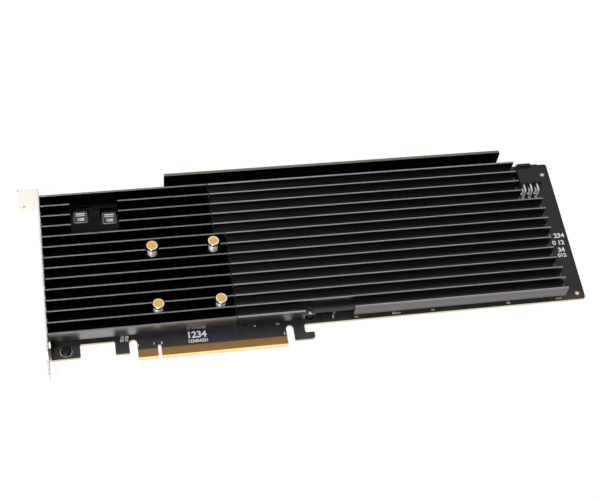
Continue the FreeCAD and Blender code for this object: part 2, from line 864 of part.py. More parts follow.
def socket_pin(x, z, reach):
    """Square pin: along the cell, out of the back, then bent down through the board."""
    half = socket_pin_t / 2
    foot_y = socket_back_y - reach
    front_y = socket_mouth_y - socket_pin_short_of_mouth
    low_z = -board_t - socket_pin_under
    profile = [
        (front_y, z - half, 0),
        (front_y, z + half, 0),
        (foot_y - half, z + half, socket_pin_bend_r),
        (foot_y - half, low_z, 0),
        (foot_y + half, low_z, 0),
        (foot_y + half, z - half, socket_pin_bend_r - socket_pin_t),
    ]
    return upright_plate(profile, x - half, x + half)


def small_parts():
    """Regulators, tank capacitors and ceramic capacitors that work beside the switch chip."""
    regulators = []
    for x, y in inductor_places:
        high_y = y - regulator_below_inductor
        west = x - regulator_w / 2
        regulators.append(box(west, west + regulator_w, high_y - regulator_d, high_y, 0, regulator_h))
    tanks = [
        box(tank_x, tank_x + tank_w, y, y + tank_d, 0, tank_h)
        for y in [tank_first_y + i * tank_pitch for i in range(tank_count)]
    ]
    ceramics = []
    for i in range(ceramic_rows):
        y = chip_y + (i - (ceramic_rows - 1) / 2) * ceramic_pitch
        x = chip_x - chip_side / 2 - ceramic_from_chip
        ceramics.append(box(x, x + ceramic_w, y, y + ceramic_d, 0, ceramic_h))
    return regulators, tanks, ceramics


def main():
    os.makedirs("parts", exist_ok=True)
    save("circuit_board", circuit_board())
    save("front_contacts", *contacts(0, (17, 31, 48, 81)))
    save("rear_contacts", *contacts(-board_t - contact_t, (1,)))
    save("plated_rings", *plated_rings())
    save("mounting_bracket", mounting_bracket())
    save("bracket_screws", *[
        screw(x, y, contact_t, 1, bracket_screw_head_r, bracket_screw_head_h, bracket_screw_r,
              contact_t + board_t + bracket_t)
        for x, y in bracket_screw_places
    ])
    save("switch_heat_sink", switch_heat_sink())
    save("drive_heat_sink", drive_heat_sink())
    save("heat_sink_screws", *[
        screw(x, y, -board_t, -1, sink_screw_head_r, sink_screw_head_h, sink_screw_r, board_t + sink_screw_bite)
        for x, y in boss_places
    ])
    save("push_pins", *[push_pin(x, y) for x, y in pin_places])
    save("pin_springs", *[pin_spring(x, y) for x, y in pin_places])
    save("top_rail", top_rail())
    save("rail_screws", *[
        screw(x, y, 0, 1, rail_screw_head_r, rail_screw_head_h, rail_screw_r, board_t + rail_screw_bite)
        for x, y in rail_screw_places
    ])
    save("access_spacer", rod(access_screw_x, access_screw_y, 0, drive_deck_under_z, boss_r).cut(
        rod(access_screw_x, access_screw_y, post_hole_floor, drive_deck_under_z, sink_screw_r + screw_clear)))
    save("access_screw", screw(
        access_screw_x, access_screw_y, drive_deck_z, 1, sink_screw_head_r, sink_screw_head_h, sink_screw_r,
        drive_deck_t + sink_screw_bite))
    save("switch_chip", rounded_block(chip_x, chip_y, chip_side, chip_side, 0, chip_t, 0))
    lid_top_z = switch_deck_under_z - paste_t
    save("chip_lid", rounded_block(chip_x, chip_y, lid_side, lid_side, chip_t, lid_top_z, lid_corner_r))
    save("thermal_paste", rounded_block(
        chip_x, chip_y, paste_side, paste_side, lid_top_z, switch_deck_under_z, lid_corner_r))
    save("power_inductors", *[power_inductor(x, y) for x, y in inductor_places])
    for number in range(drive_count):
        save("m2_connector_" + str(number + 1), m2_connector(number))
        save("drive_pad_" + str(number + 1), drive_pad(number))
    save("m2_posts", *[m2_post(number) for number in range(drive_count)])
    save("m2_post_screws", *[m2_post_screw(number) for number in range(drive_count)])
    save("power_socket", power_socket())
    save("power_socket_pins", *[
        socket_pin(x, z, reach) for x in socket_pin_xs() for z, reach in socket_pin_rows()
    ])
    regulators, tanks, ceramics = small_parts()
    save("regulator_chips", *regulators)
    save("tank_capacitors", *tanks)
    save("ceramic_capacitors", *ceramics)
    save("clock_crystal", box(
        crystal_x, crystal_x + crystal_w, crystal_y, crystal_y + crystal_d, 0, crystal_h))
    save("edge_chips", *[
        box(west, east, edge_chip_y, edge_chip_y + edge_chip_d, 0, edge_chip_h) for west, east in edge_chip_spans
    ])
    save("edge_capacitor", box(
        edge_capacitor_x - edge_capacitor_w / 2, edge_capacitor_x + edge_capacitor_w / 2,
        edge_chip_y, edge_chip_y + edge_capacitor_d, 0, edge_capacitor_w))


main()
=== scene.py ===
"""Looks of the NVMe adapter card: a plug-in card with eight M.2 bays under two black finned heat sinks.

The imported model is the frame. X runs along the finger edge away from the bracket, Y up to the top edge
and Z out of the component face, in metres.
"""
import math

import bmesh
import bpy
from mathutils import Matrix, Vector


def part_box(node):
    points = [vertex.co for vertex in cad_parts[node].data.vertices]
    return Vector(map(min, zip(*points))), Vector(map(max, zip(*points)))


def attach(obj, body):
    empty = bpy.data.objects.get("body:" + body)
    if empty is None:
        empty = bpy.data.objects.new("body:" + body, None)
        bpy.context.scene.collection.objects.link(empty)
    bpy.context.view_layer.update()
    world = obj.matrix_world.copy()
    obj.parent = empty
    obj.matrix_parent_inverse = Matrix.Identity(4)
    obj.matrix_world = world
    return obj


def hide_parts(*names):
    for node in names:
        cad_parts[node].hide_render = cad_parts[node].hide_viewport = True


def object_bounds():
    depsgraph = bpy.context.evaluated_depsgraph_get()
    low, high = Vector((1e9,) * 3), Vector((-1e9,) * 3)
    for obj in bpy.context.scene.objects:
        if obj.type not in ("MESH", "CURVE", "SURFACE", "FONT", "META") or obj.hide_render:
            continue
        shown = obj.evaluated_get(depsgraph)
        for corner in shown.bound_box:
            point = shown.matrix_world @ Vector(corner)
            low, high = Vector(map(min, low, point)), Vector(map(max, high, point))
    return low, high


bl_info = {
    "name": "NVMe adapter card",
    "version": (1, 0, 0),
    "blender": (4, 5, 0),
    "location": "View3D > Sidebar > Adapter card",
    "description": "Dresses the packed adapter card and sets it on a pale table",
    "category": "Object",
}

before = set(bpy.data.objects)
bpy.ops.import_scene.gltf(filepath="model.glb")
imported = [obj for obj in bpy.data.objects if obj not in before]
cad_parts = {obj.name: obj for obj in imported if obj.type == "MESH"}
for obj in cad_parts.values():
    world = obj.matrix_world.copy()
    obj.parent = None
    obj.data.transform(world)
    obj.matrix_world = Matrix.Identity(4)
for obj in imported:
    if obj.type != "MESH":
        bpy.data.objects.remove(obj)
cad_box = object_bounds()
MM = 0.001

# The table glows a little for the camera, so that it comes out white and keeps a faint shadow
TABLE_GLOW = 1.08
TABLE_GLOW_SHARE = 0.86
TABLE_HALF = 2.5
WHITE = (1, 1, 1, 1)

# Softboxes: way from the card, distance, width and depth in metres, radiance
SOFTBOXES = {
    "rear_softbox": ((0.1, 0.47, 0.88), 1.3, 1.7, 0.9, 0.8),
    "front_softbox": ((-0.35, -0.85, 0.5), 1.2, 1.0, 0.5, 1.1),
}
LIT_POINT = (0.09, 0.055, 0)
KEY_WAY = (-0.3, -0.6, 0.85)
KEY_STRENGTH = 2.0
KEY_SPREAD = math.radians(18)
ROOM_LIGHT = 0.12

# Camera as the photograph was taken
LENS_MM = 80.783
SENSOR_MM = 36
LENS_SHIFT = (-0.0551, 0.0054)
CAMERA_PLACE = (-0.033886, -0.350454, 0.670559)
CAMERA_TURN = (0.560160, -0.127470, -0.095810)

# Heat sink sizes that the frame's boxes don't tell, in mm
# Underside and top of each deck, and foot of the outer walls
SWITCH_DECK_MM = (3.8, 5.3)
DRIVE_DECK_MM = (5.2, 6.9)
SKIRT_FOOT_MM = 3.4
# The two sinks meet in a step below this fin, counted from the upper wall
SINK_GAP_MM = 0.6
STEP_FIN = 5
# Recess of the short sink: its ends, its fins and what is left of them, and the two windows in its floor
RECESS_MM = (-43.5, -16.0)
RECESS_FINS = (1, 3)
FIN_STUB_MM = 0.3
WINDOW_MM = (10.6, 11.4)
WINDOW_RISE_MM = 0.5
PIN_POCKET_R_MM = 4.0
PIN_HOLE_R_MM = 1.6
# Right end of the long sink: notch for the power socket and the fins that end early
SOCKET_NOTCH_MM = 12.0
SOCKET_NOTCH_FIN = 4
END_RECESS_MM = 1.9
END_RECESS_FINS = (8, 10)
# Access cut in the lower wall: its ends, where its deck starts to be cut back, and by how much
ACCESS_MM = (83.0, 111.7, 89.5)
ACCESS_BACK_MM = 2.25
SCREW_HOLE_R_MM = 1.25
SCREW_SPARE_MM = 0.05
BOSS_R_MM = 2.3

# Points nearer than this are one, edges sharper than this are broken, and sharper than that aren't smoothed
WELD = 1e-6
BREAK_ANGLE = math.radians(40)
SMOOTH_ANGLE = math.radians(35)

# Contacts in a drive socket: their two heights, their size, and where each row starts and how many it has
SLOT_CONTACT_Z_MM = (2.46, 3.24)
SLOT_CONTACT_Y_MM = 1.2
SLOT_CONTACT_MM = (0.22, 1.6, 0.18)
SLOT_ROWS = (("long_contact_rows", -9.25, 29), ("short_contact_rows", 7.0, 5))

# Screws: node, finish, slot, height of the head and radius of the shank in mm, whether the head is on top
SCREWS = (
    ("bracket_screws", "blackened_steel", "dark_screw", 1.7, 1.45, True),
    ("rail_screws", "zinc_plated_steel", "bright_screw", 1.4, 1.25, True),
    ("heat_sink_screws", "zinc_plated_steel", "bright_screw", 1.5, 1.2, False),
    ("access_screw", "rubbed_steel", "bright_screw", 1.5, 1.2, True),
    ("m2_post_screws", "zinc_plated_steel", "bright_screw", 0.9, 0.95, True),
)
CROSS_TURN = math.radians(25)

# What the open_face attribute says of a heat sink's faces, and how much lighter a wall's worn clouds are
CHANNEL, WALL, TIP = 0.0, 0.5, 1.0
WALL_WEAR = 1.25

# Up from the finger edge, in mm: where bare laminate ends, and where the close copper lines thin out and end
BARE_TOP_MM = 6.2
LINES_TOP_MM = (15.0, 19.0)

# Strength of the painted glow on the cut edges of the laminate, standing in for the table's light coming
# through them
PAINTED_CUT_GLOW = 0.4

# Bare test pads on the board below the long heat sink: middle along X and length, in mm
PADS_MM = (
    (113.8, 2.2), (137.5, 5.0), (159.4, 2.2), (205.5, 2.4), (236.3, 3.6), (54.6, 1.2), (67.8, 2.0))
PAD_MIDDLE_Y_MM = 14.4
PAD_DEPTH_MM = 1.0
PAD_HEIGHT_MM = 0.05

# Plain numbers printed on the board: left and foot of the number and height of its digits, in mm
MARKS_MM = (
    ("1234", 15.6, 10.6, 4.1),
    ("123454321", 15.9, 7.6, 1.9),
    ("12 34", -21.3, 14.0, 1.5),
    ("34 12", -21.6, 12.1, 1.5),
    ("1", -12.2, 8.2, 1.5),
    ("1", -3.4, 8.6, 1.5),
    ("2", 0.9, 8.6, 1.5),
    ("2", 70.4, 7.3, 1.5),
    ("1 234", 241.1, 56.4, 3.2),
    ("0 12", 242.4, 51.4, 3.1),
    ("34", 244.6, 46.2, 3.1),
    ("012", 243.6, 42.6, 2.6),
)

# Plain number and two plain lines printed on each inductor, from its middle, in mm
CHOKE_MARK_MM = ("100", -2.1, -2.7, 2.1)
CHOKE_BARS_MM = ((-2.7, 2.7, 1.8, 2.6), (-2.7, 2.7, 0.6, 1.1))

# How far the digits are thickened for their height, and the height of a digit in a font of size 1
MARK_WEIGHT = 0.045
DIGIT_SHARE = 0.73

# A noise keeps mostly between these values
NOISE_REACH = (0.3, 0.7)

# How far the roughness of a metal and of another body swings with its grain
METAL_SWING = (0.75, 1.35)
BODY_SWING = (0.85, 1.15)

# Finishes with one fine grain: colour, its second tone, metal, roughness, grain and relief in mm
FINISHES = {
    # Hard gold over nickel on copper: warm, soft mirror with faint wipe marks
    "hard_gold_plated_copper": ("gold", "gold_worn", 1.0, 0.3, 0.6, 0.004),
    # Immersion gold over nickel on soldered pads: thin, pale and half dull
    "immersion_gold_on_nickel": ("thin_gold", "thin_gold_worn", 0.5, 0.35, 0.6, 0.004),
    # Drawn metal with a coat of tin: silver, softer than a mirror
    "tinned_spring_steel": ("steel", "steel_worn", 0.3, 0.3, 0.5, 0.004),
    "tinned_brass": ("steel", "steel_worn", 0.35, 0.22, 0.5, 0.004),
    # Bright zinc on screws: silver and glossy
    "zinc_plated_steel": ("steel", "steel_worn", 1.0, 0.2, 0.5, 0.004),
    # Nickel on turned posts and on the chip's pressed lid: silver, a little duller than zinc
    "nickel_plated_brass_post": ("steel", "steel_worn", 1.0, 0.3, 0.5, 0.004),
    "nickel_plated_copper": ("steel", "steel_worn", 1.0, 0.35, 0.5, 0.004),
    # Steel blackened by heat and oil: dark, with a soft gloss
    "blackened_steel": ("black_steel", "black_steel_worn", 1.0, 0.3, 0.5, 0.004),
    # Glass-filled nylon, moulded: black and satin
    "black_moulded_nylon": ("nylon", "nylon_light", 0.0, 0.42, 0.25, 0.01),
    # Filled epoxy, transfer moulded: black, dull, finely speckled
    "black_moulded_epoxy": ("epoxy", "nylon_light", 0.0, 0.55, 0.15, 0.01),
    # Fired ceramic body with tinned ends: tan, with a faint glaze
    "fired_tan_ceramic": ("ceramic", "tin", 0.0, 0.35, 0.6, 0.01),
    # Filled silicone pad: grey, soft and matt
    "grey_filled_silicone": ("pad", "pad_light", 0.0, 0.8, 0.5, 0.03),
    # Screen-printed epoxy ink: white, slightly uneven
    "white_screen_print_ink": ("ink", "ink_thin", 0.0, 0.6, 0.4, 0.004),
}


# Colour and node helpers

def linear(hex_colour):
    """Linear colour of an sRGB hex value."""
    channels = [int(hex_colour[i:i + 2], 16) / 255 for i in (1, 3, 5)]
    return tuple(c / 12.92 if c <= 0.04045 else ((c + 0.055) / 1.055) ** 2.4 for c in channels)


def add(tree, kind, inputs=None, out=0, **settings):
    """New node with its settings; an input is a value, a socket or a list of sockets. Gives one output."""
    node = tree.nodes.new(kind)
    for name, value in settings.items():
        setattr(node, name, value)
    for name, value in (inputs or {}).items():
        for source in value if isinstance(value, list) else [value]:
            if isinstance(source, bpy.types.NodeSocket):
                tree.links.new(source, node.inputs[name])
            else:
                node.inputs[name].default_value = source
    return node.outputs[out] if node.outputs else None


def new_material(name, colour, **surface):
    """Material with one surface shader; its even values stand on the shader's own sockets."""
    material = bpy.data.materials.new(name)
    material.use_nodes = True
    shader = material.node_tree.nodes["Principled BSDF"]
    shader.inputs["Base Color"].default_value = colour
    for socket, value in surface.items():
        shader.inputs[socket].default_value = value
    return material, material.node_tree, shader


def grain(tree, size_mm, stretch=(1, 1, 1)):
    """Noise on Object coordinates, with grains about size_mm across, drawn out along an axis."""
    place = add(tree, "ShaderNodeTexCoord", out="Object")
    scaled = add(tree, "ShaderNodeMapping", {"Vector": place, "Scale": stretch})
    return add(tree, "ShaderNodeTexNoise", {"Vector": scaled, "Scale": 1 / (size_mm * MM), "Detail": 2.0})


def facing(tree, axis):
    """How far a face looks along an axis, from -1 to 1."""
    normal = add(tree, "ShaderNodeNewGeometry", out="Normal")
    return add(tree, "ShaderNodeSeparateXYZ", {"Vector": normal}, axis)


def layered(tree, colour, *layers):
    """Colour under layers of others.

    A layer is its share and its colour; two values between them say where the share begins and is full.
    """
    for share, *reach, cover in layers:
        if reach:
            share = add(tree, "ShaderNodeMapRange", {
                "Value": share, "From Min": reach[0], "From Max": reach[1]})
        colour = add(tree, "ShaderNodeMix", {0: share, 6: colour, 7: cover}, 2, data_type="RGBA")
    return colour


def feed(shader, colour, gloss=None, relief=None):
    """Feeds a shader its colour, a roughness (noise, low, high) and a relief (pattern, depth in mm)."""
    tree = shader.id_data
    tree.links.new(colour, shader.inputs["Base Color"])
    if gloss:
        rough = add(tree, "ShaderNodeMapRange", {
            "Value": gloss[0], "From Min": NOISE_REACH[0], "From Max": NOISE_REACH[1],
            "To Min": gloss[1], "To Max": gloss[2]})
        tree.links.new(rough, shader.inputs["Roughness"])
    if relief:
        bumps = add(tree, "ShaderNodeBump", {"Height": relief[0], "Distance": relief[1] * MM})
        tree.links.new(bumps, shader.inputs["Normal"])


# Materials

def finish(name):
    """Material of the FINISHES table; one fine grain tones its colour, its gloss and its relief."""
    base, tone, metal, roughness, size_mm, depth_mm = FINISHES[name]
    look = bpy.context.scene.card_finish
    colour = getattr(look, base)
    material, tree, shader = new_material(name, colour, Metallic=metal, Roughness=roughness)
    cloud = grain(tree, size_mm)
    low, high = METAL_SWING if metal else BODY_SWING
    feed(shader, layered(tree, colour, (cloud, getattr(look, tone))),
         (cloud, roughness * low, roughness * high), (cloud, depth_mm))
    return material


def anodised_aluminium(name, deep, wall, tip):
    """Extruded aluminium, black anodised: outer walls mirror the room softly, channels are painted nearly
    black as painted shade and fin tips are painted lighter as a painted highlight.

    The mesh says in its open_face attribute what is a channel, an outer wall or a fin tip. Fine die lines
    run along the extrusion.
    """
    material, tree, shader = new_material(name, wall, Metallic=1.0, Roughness=0.3)
    # Die lines are a few hundredths of a millimetre apart; drawn ten times coarser so that they show
    lines = grain(tree, 0.4, (0.02, 1, 1))
    cloud = grain(tree, 9.0, (0.4, 1, 1))
    open_face = add(tree, "ShaderNodeAttribute", out="Fac", attribute_name="open_face")
    worn = (*(min(1.0, c * WALL_WEAR) for c in wall[:3]), 1)
    # Painted highlight on the fin tips and painted shade in the channels: open_face picks the tip, wall or
    # channel colour
    outer = layered(tree, wall, (cloud, worn), (open_face, WALL, TIP, tip))
    feed(shader, layered(tree, deep, (open_face, CHANNEL, WALL, outer)), (lines, 0.26, 0.38), (lines, 0.01))
    return material


def solder_mask():
    """Glass laminate under black solder mask: satin over the copper lines, bare and tan where it is cut.

    The faces are mask, the sides show the plies of the laminate, and the ground slope of the finger edge is
    pale fresh glass. Between the fingers the laminate has no mask. The sides and the slope get a painted glow.
    """
    look = bpy.context.scene.card_finish
    material, tree, shader = new_material("black_solder_mask_on_glass_laminate", look.mask, Roughness=0.35)
    flat = add(tree, "ShaderNodeMath", {0: facing(tree, "Z")}, operation="ABSOLUTE")
    face = add(tree, "ShaderNodeMath", {0: flat, 1: 0.99}, operation="GREATER_THAN")
    sloped = add(tree, "ShaderNodeMath", {0: flat, 1: 0.5}, operation="GREATER_THAN")
    place = add(tree, "ShaderNodeTexCoord", out="Object")
    along = add(tree, "ShaderNodeSeparateXYZ", {"Vector": place}, "X")
    upwards = along.node.outputs["Y"]
    left, right = (corner.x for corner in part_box("front_contacts"))
    in_row = add(tree, "ShaderNodeMath", {
        0: along, 1: (left + right) / 2, 2: (right - left) / 2 + MM}, operation="COMPARE")
    low = add(tree, "ShaderNodeMath", {0: upwards, 1: BARE_TOP_MM * MM}, operation="LESS_THAN")
    bare = add(tree, "ShaderNodeMath", {0: low, 1: in_row}, operation="MULTIPLY")
    # Copper lines 0.15 mm wide at 0.4 mm pitch, drawn at 1.1 mm pitch so that they show
    lines = add(tree, "ShaderNodeTexWave", {
        "Vector": place, "Scale": 1 / (1.1 * MM * 2 * math.pi), "Distortion": 2.5, "Detail": 1.0,
        "Detail Scale": 0.4}, "Fac", bands_direction="DIAGONAL")
    mottle = grain(tree, 6.0)
    plies = grain(tree, 0.5, (0.2, 0.2, 1))
    # Towards the finger edge the copper lines lie close together, and the mask over them looks lighter
    over_lines = layered(tree, look.mask_lines, (mottle, *NOISE_REACH, look.mask_lines_light))
    skin = layered(
        tree, look.mask,
        (mottle, *NOISE_REACH, look.mask_copper),
        (upwards, LINES_TOP_MM[1] * MM, LINES_TOP_MM[0] * MM, over_lines),
        (bare, layered(tree, look.bare, (plies, look.laminate_dark))))
    slope = layered(tree, look.bevel, (plies, look.bevel_dark))
    colour = layered(tree, look.laminate, (plies, look.laminate_dark), (sloped, slope), (face, skin))
    feed(shader, colour, (mottle, 0.3, 0.42), (lines, 0.012))
    # Painted glow: the cut sides and the ground slope emit light, standing in for light from the pale table
    # that comes through the translucent laminate
    tree.links.new(layered(tree, look.cut_glow, (sloped, slope)), shader.inputs["Emission Color"])
    glow = add(tree, "ShaderNodeMath", {0: face, 1: -PAINTED_CUT_GLOW, 2: PAINTED_CUT_GLOW}, operation="MULTIPLY_ADD")
    tree.links.new(glow, shader.inputs["Emission Strength"])
    return material


def rail_aluminium():
    """Flat bar, black anodised: deep black on its wide faces; its faces that look up along the sawn top are
    painted lighter and brownish, partly bare worn metal and partly a painted highlight.
    """
    look = bpy.context.scene.card_finish
    material, tree, shader = new_material("black_anodised_flat_bar", look.rail, Metallic=1.0, Roughness=0.34)
    # Painted highlight, partly bare worn metal: faces that look up get the lighter, brownish top colour
    top = add(tree, "ShaderNodeMath", {0: facing(tree, "Z"), 1: 0.8}, operation="GREATER_THAN")
    worn = layered(tree, look.rail_top, (grain(tree, 2.5, (0.1, 1, 1)), look.rail_worn))
    feed(shader, layered(tree, look.rail, (top, worn)), relief=(grain(tree, 0.3, (0.05, 1, 1)), 0.01))
    return material


def bracket_steel():
    """Stamped steel, bright nickel plated: pale and glossy with rolled grain; its inner face, towards the
    card, is painted darker as painted shade.
    """
    look = bpy.context.scene.card_finish
    material, tree, shader = new_material(
        "nickel_plated_stamped_steel", look.bracket, Metallic=1.0, Roughness=0.24)
    cloud = grain(tree, 1.5)
    # Painted shade: faces that look along X, towards the card, are darkened
    colour = layered(
        tree, look.bracket, (cloud, look.bracket_worn), (facing(tree, "X"), 0.6, 0.9, look.bracket_inner))
    feed(shader, colour, (cloud, 0.18, 0.32), (cloud, 0.004))
    return material


def turned_brass():
    """Brass turned on a lathe: yellow and bright, with faint clouds, and with its sides and a rim round its
    top painted pale as a painted highlight.
    """
    look = bpy.context.scene.card_finish
    material, tree, shader = new_material("turned_brass", look.brass, Metallic=1.0, Roughness=0.22)
    place = add(tree, "ShaderNodeTexCoord", out="Object")
    nearest = 1.0
    low, high = solid_boxes("push_pins")[0]
    radius = (high.x - low.x) / 2
    for x, y in middles("push_pins"):
        from_axis = add(tree, "ShaderNodeVectorMath", {
            0: place, 1: (x, y, high.z)}, "Value", operation="DISTANCE")
        nearest = add(tree, "ShaderNodeMath", {0: nearest, 1: from_axis}, operation="MINIMUM")
    # Painted highlight: the sides and a rim round each pin's top are painted pale
    side = add(tree, "ShaderNodeMath", {0: facing(tree, "Z"), 1: 0.9}, operation="LESS_THAN")
    cloud = layered(tree, look.brass, (grain(tree, 1.6), *NOISE_REACH, look.brass_worn))
    colour = layered(
        tree, look.brass_rim, (nearest, 0.8 * radius, 0.7 * radius, cloud), (side, look.brass_rim))
    feed(shader, colour, relief=(grain(tree, 0.3), 0.004))
    return material


def rubbed_steel():
    """Blackened steel screw with a painted highlight: the side of its head is painted bright steel."""
    look = bpy.context.scene.card_finish
    material, tree, shader = new_material(
        "blackened_steel_rubbed_rim", look.black_steel, Metallic=1.0, Roughness=0.25)
    cloud = (grain(tree, 0.5), look.black_steel_worn)
    # Painted highlight: faces that lean away from the top are painted bright steel; the clouds are rubbed
    # spots
    feed(shader, layered(tree, look.black_steel, cloud, (facing(tree, "Z"), 0.9, 0.3, look.steel)))
    return material


def choke_composite():
    """Pressed iron powder: blue-grey and dull, speckled with metal, with a painted highlight along its rounded
    top edges.
    """
    look = bpy.context.scene.card_finish
    material, tree, shader = new_material("pressed_iron_powder", look.choke, Roughness=0.42)
    # Painted highlight on the rounded edges, the faces that lean by about 15 to 75 degrees
    edge = add(tree, "ShaderNodeMath", {0: facing(tree, "Z"), 1: 0.605, 2: 0.355}, operation="COMPARE")
    fleck = grain(tree, 0.3)
    colour = layered(tree, look.choke, (fleck, look.choke_light), (edge, look.choke_edge))
    feed(shader, colour, relief=(fleck, 0.02))
    return material


# Mesh helpers

def solid_boxes(node_name):
    """Lowest and highest corner of each separate solid in a CAD node, in order along X."""
    mesh = bmesh.new()
    mesh.from_mesh(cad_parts[node_name].data)
    bmesh.ops.remove_doubles(mesh, verts=mesh.verts, dist=WELD)
    boxes = []
    seen = set()
    for start in mesh.verts:
        if start.index in seen:
            continue
        seen.add(start.index)
        group = [start]
        for vert in group:
            for edge in vert.link_edges:
                other = edge.other_vert(vert)
                if other.index not in seen:
                    seen.add(other.index)
                    group.append(other)
        columns = list(zip(*(v.co for v in group)))
        boxes.append((Vector(map(min, columns)), Vector(map(max, columns))))
    mesh.free()
    return sorted(boxes, key=lambda b: tuple(b[0]))


def middles(node_name):
    """Middle of each solid of a CAD node, seen from above."""
    return [((low.x + high.x) / 2, (low.y + high.y) / 2) for low, high in solid_boxes(node_name)]


def place_piece(piece, slot, *nodes):
    """Puts a finished piece on the card, and hides the CAD nodes that it stands for."""
    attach(piece, "root")
    if nodes:
        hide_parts(*nodes)


def tool_shape(name, boxes, rods=()):
    """Object made of boxes (x0, x1, y0, y1, z0, z1) and upright rods (x, y, z0, z1, radius), in metres."""
    work = bmesh.new()
    for x0, x1, y0, y1, z0, z1 in boxes:
        middle = Matrix.Translation(((x0 + x1) / 2, (y0 + y1) / 2, (z0 + z1) / 2))
        bmesh.ops.create_cube(work, size=1, matrix=middle @ Matrix.Diagonal((x1 - x0, y1 - y0, z1 - z0, 1)))
    for x, y, z0, z1, radius in rods:
        bmesh.ops.create_cone(
            work, cap_ends=True, segments=48, radius1=radius, radius2=radius, depth=z1 - z0,
            matrix=Matrix.Translation((x, y, (z0 + z1) / 2)))
    mesh = bpy.data.meshes.new(name)
    work.to_mesh(mesh)
    work.free()
    return link_data(name, mesh)


def mark_open_faces(mesh, low, high, tip_depth):
    """Says in an attribute which faces lie on the outside of the box between low and high."""
    shares = []
    slack = 0.05 * MM
    for face in mesh.polygons:
        at = face.center
        if at.z > high.z - tip_depth:
            shares.append(TIP)
        elif at.y < low.y + slack or at.y > high.y - slack or at.x < low.x + slack or at.x > high.x - slack:
            shares.append(WALL)
        else:
            shares.append(CHANNEL)
    mesh.attributes.new("open_face", "FLOAT", "FACE").data.foreach_set("value", shares)


def link_data(name, data):
    """New object in the scene that holds a mesh, text, lamp or camera."""
    item = bpy.data.objects.new(name, data)
    bpy.context.scene.collection.objects.link(item)
    return item


def smooth_by_angle(mesh):
    """Smooths a mesh, but not over its sharp edges."""
    mesh.polygons.foreach_set("use_smooth", [True] * len(mesh.polygons))
    mesh.set_sharp_from_angle(angle=SMOOTH_ANGLE)


def paint(material, *node_names):
    """Gives CAD nodes their finish."""
    for name in node_names:
        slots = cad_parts[name].data.materials
        slots.clear()
        slots.append(material)


def softened_copy(node_name, piece_name, material, slot, edge):
    """Copy of a CAD node with its sharp edges broken, which stands for it."""
    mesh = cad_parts[node_name].data.copy()
    mesh.name = piece_name
    work = bmesh.new()
    work.from_mesh(mesh)
    bmesh.ops.remove_doubles(work, verts=work.verts, dist=WELD)
    bmesh.ops.dissolve_limit(work, angle_limit=math.radians(0.5), verts=work.verts, edges=work.edges)
    work.to_mesh(mesh)
    work.free()
    mesh.materials.clear()
    mesh.materials.append(material)
    piece = link_data(piece_name, mesh)
    soften = piece.modifiers.new("broken_edges", "BEVEL")
    soften.width = edge
    soften.segments = 2
    soften.limit_method = "ANGLE"
    soften.angle_limit = BREAK_ANGLE
    soften.use_clamp_overlap = True
    smooth_by_angle(mesh)
    place_piece(piece, slot, node_name)


def plain_mesh(item, name):
    """Mesh of an evaluated object, which is then removed."""
    bpy.context.view_layer.update()
    evaluated = item.evaluated_get(bpy.context.evaluated_depsgraph_get())
    mesh = bpy.data.meshes.new_from_object(evaluated)
    mesh.name = name
    item.modifiers.clear()
    bpy.data.objects.remove(item)
    return mesh


# Geometry trees

SOCKET_KINDS = {int: "NodeSocketInt", float: "NodeSocketFloat", tuple: "NodeSocketVector"}


def new_tree(name, **inputs):
    """Geometry tree that takes points and named sizes; an input is its first value, or its kind of socket."""
    tree = bpy.data.node_groups.new(name, "GeometryNodeTree")
    tree.is_modifier = True
    tree.interface.new_socket(name="Geometry", in_out="INPUT", socket_type="NodeSocketGeometry")
    for label, value in inputs.items():
        kind = SOCKET_KINDS.get(type(value), value)
        socket = tree.interface.new_socket(name=label, in_out="INPUT", socket_type=kind)
        if kind != value:
            socket.default_value = value
    tree.interface.new_socket(name="Finish", in_out="INPUT", socket_type="NodeSocketMaterial")
    tree.interface.new_socket(name="Geometry", in_out="OUTPUT", socket_type="NodeSocketGeometry")
    return tree, tree.nodes.new("NodeGroupInput").outputs


def close_tree(tree, given, geometry):
    """Realises what was instanced and gives it its finish."""
    real = add(tree, "GeometryNodeRealizeInstances", {"Geometry": geometry})
    done = add(tree, "GeometryNodeSetMaterial", {"Geometry": real, "Material": given["Finish"]})
    add(tree, "NodeGroupOutput", {0: done})
    return tree


def grown(tree, name, points, values):
    """Plain mesh piece that a geometry tree grows on some points."""
    seed = bpy.data.meshes.new(name + "_points")
    seed.from_pydata([tuple(p) for p in points], [], [])
    carrier = link_data(name + "_carrier", seed)
    growth = carrier.modifiers.new("growth", "NODES")
    growth.node_group = tree
    for item in tree.interface.items_tree:
        if item.in_out == "INPUT" and item.name in values:
            growth[item.identifier] = values[item.name]
    mesh = plain_mesh(carrier, name)
    smooth_by_angle(mesh)
    return link_data(name, mesh)


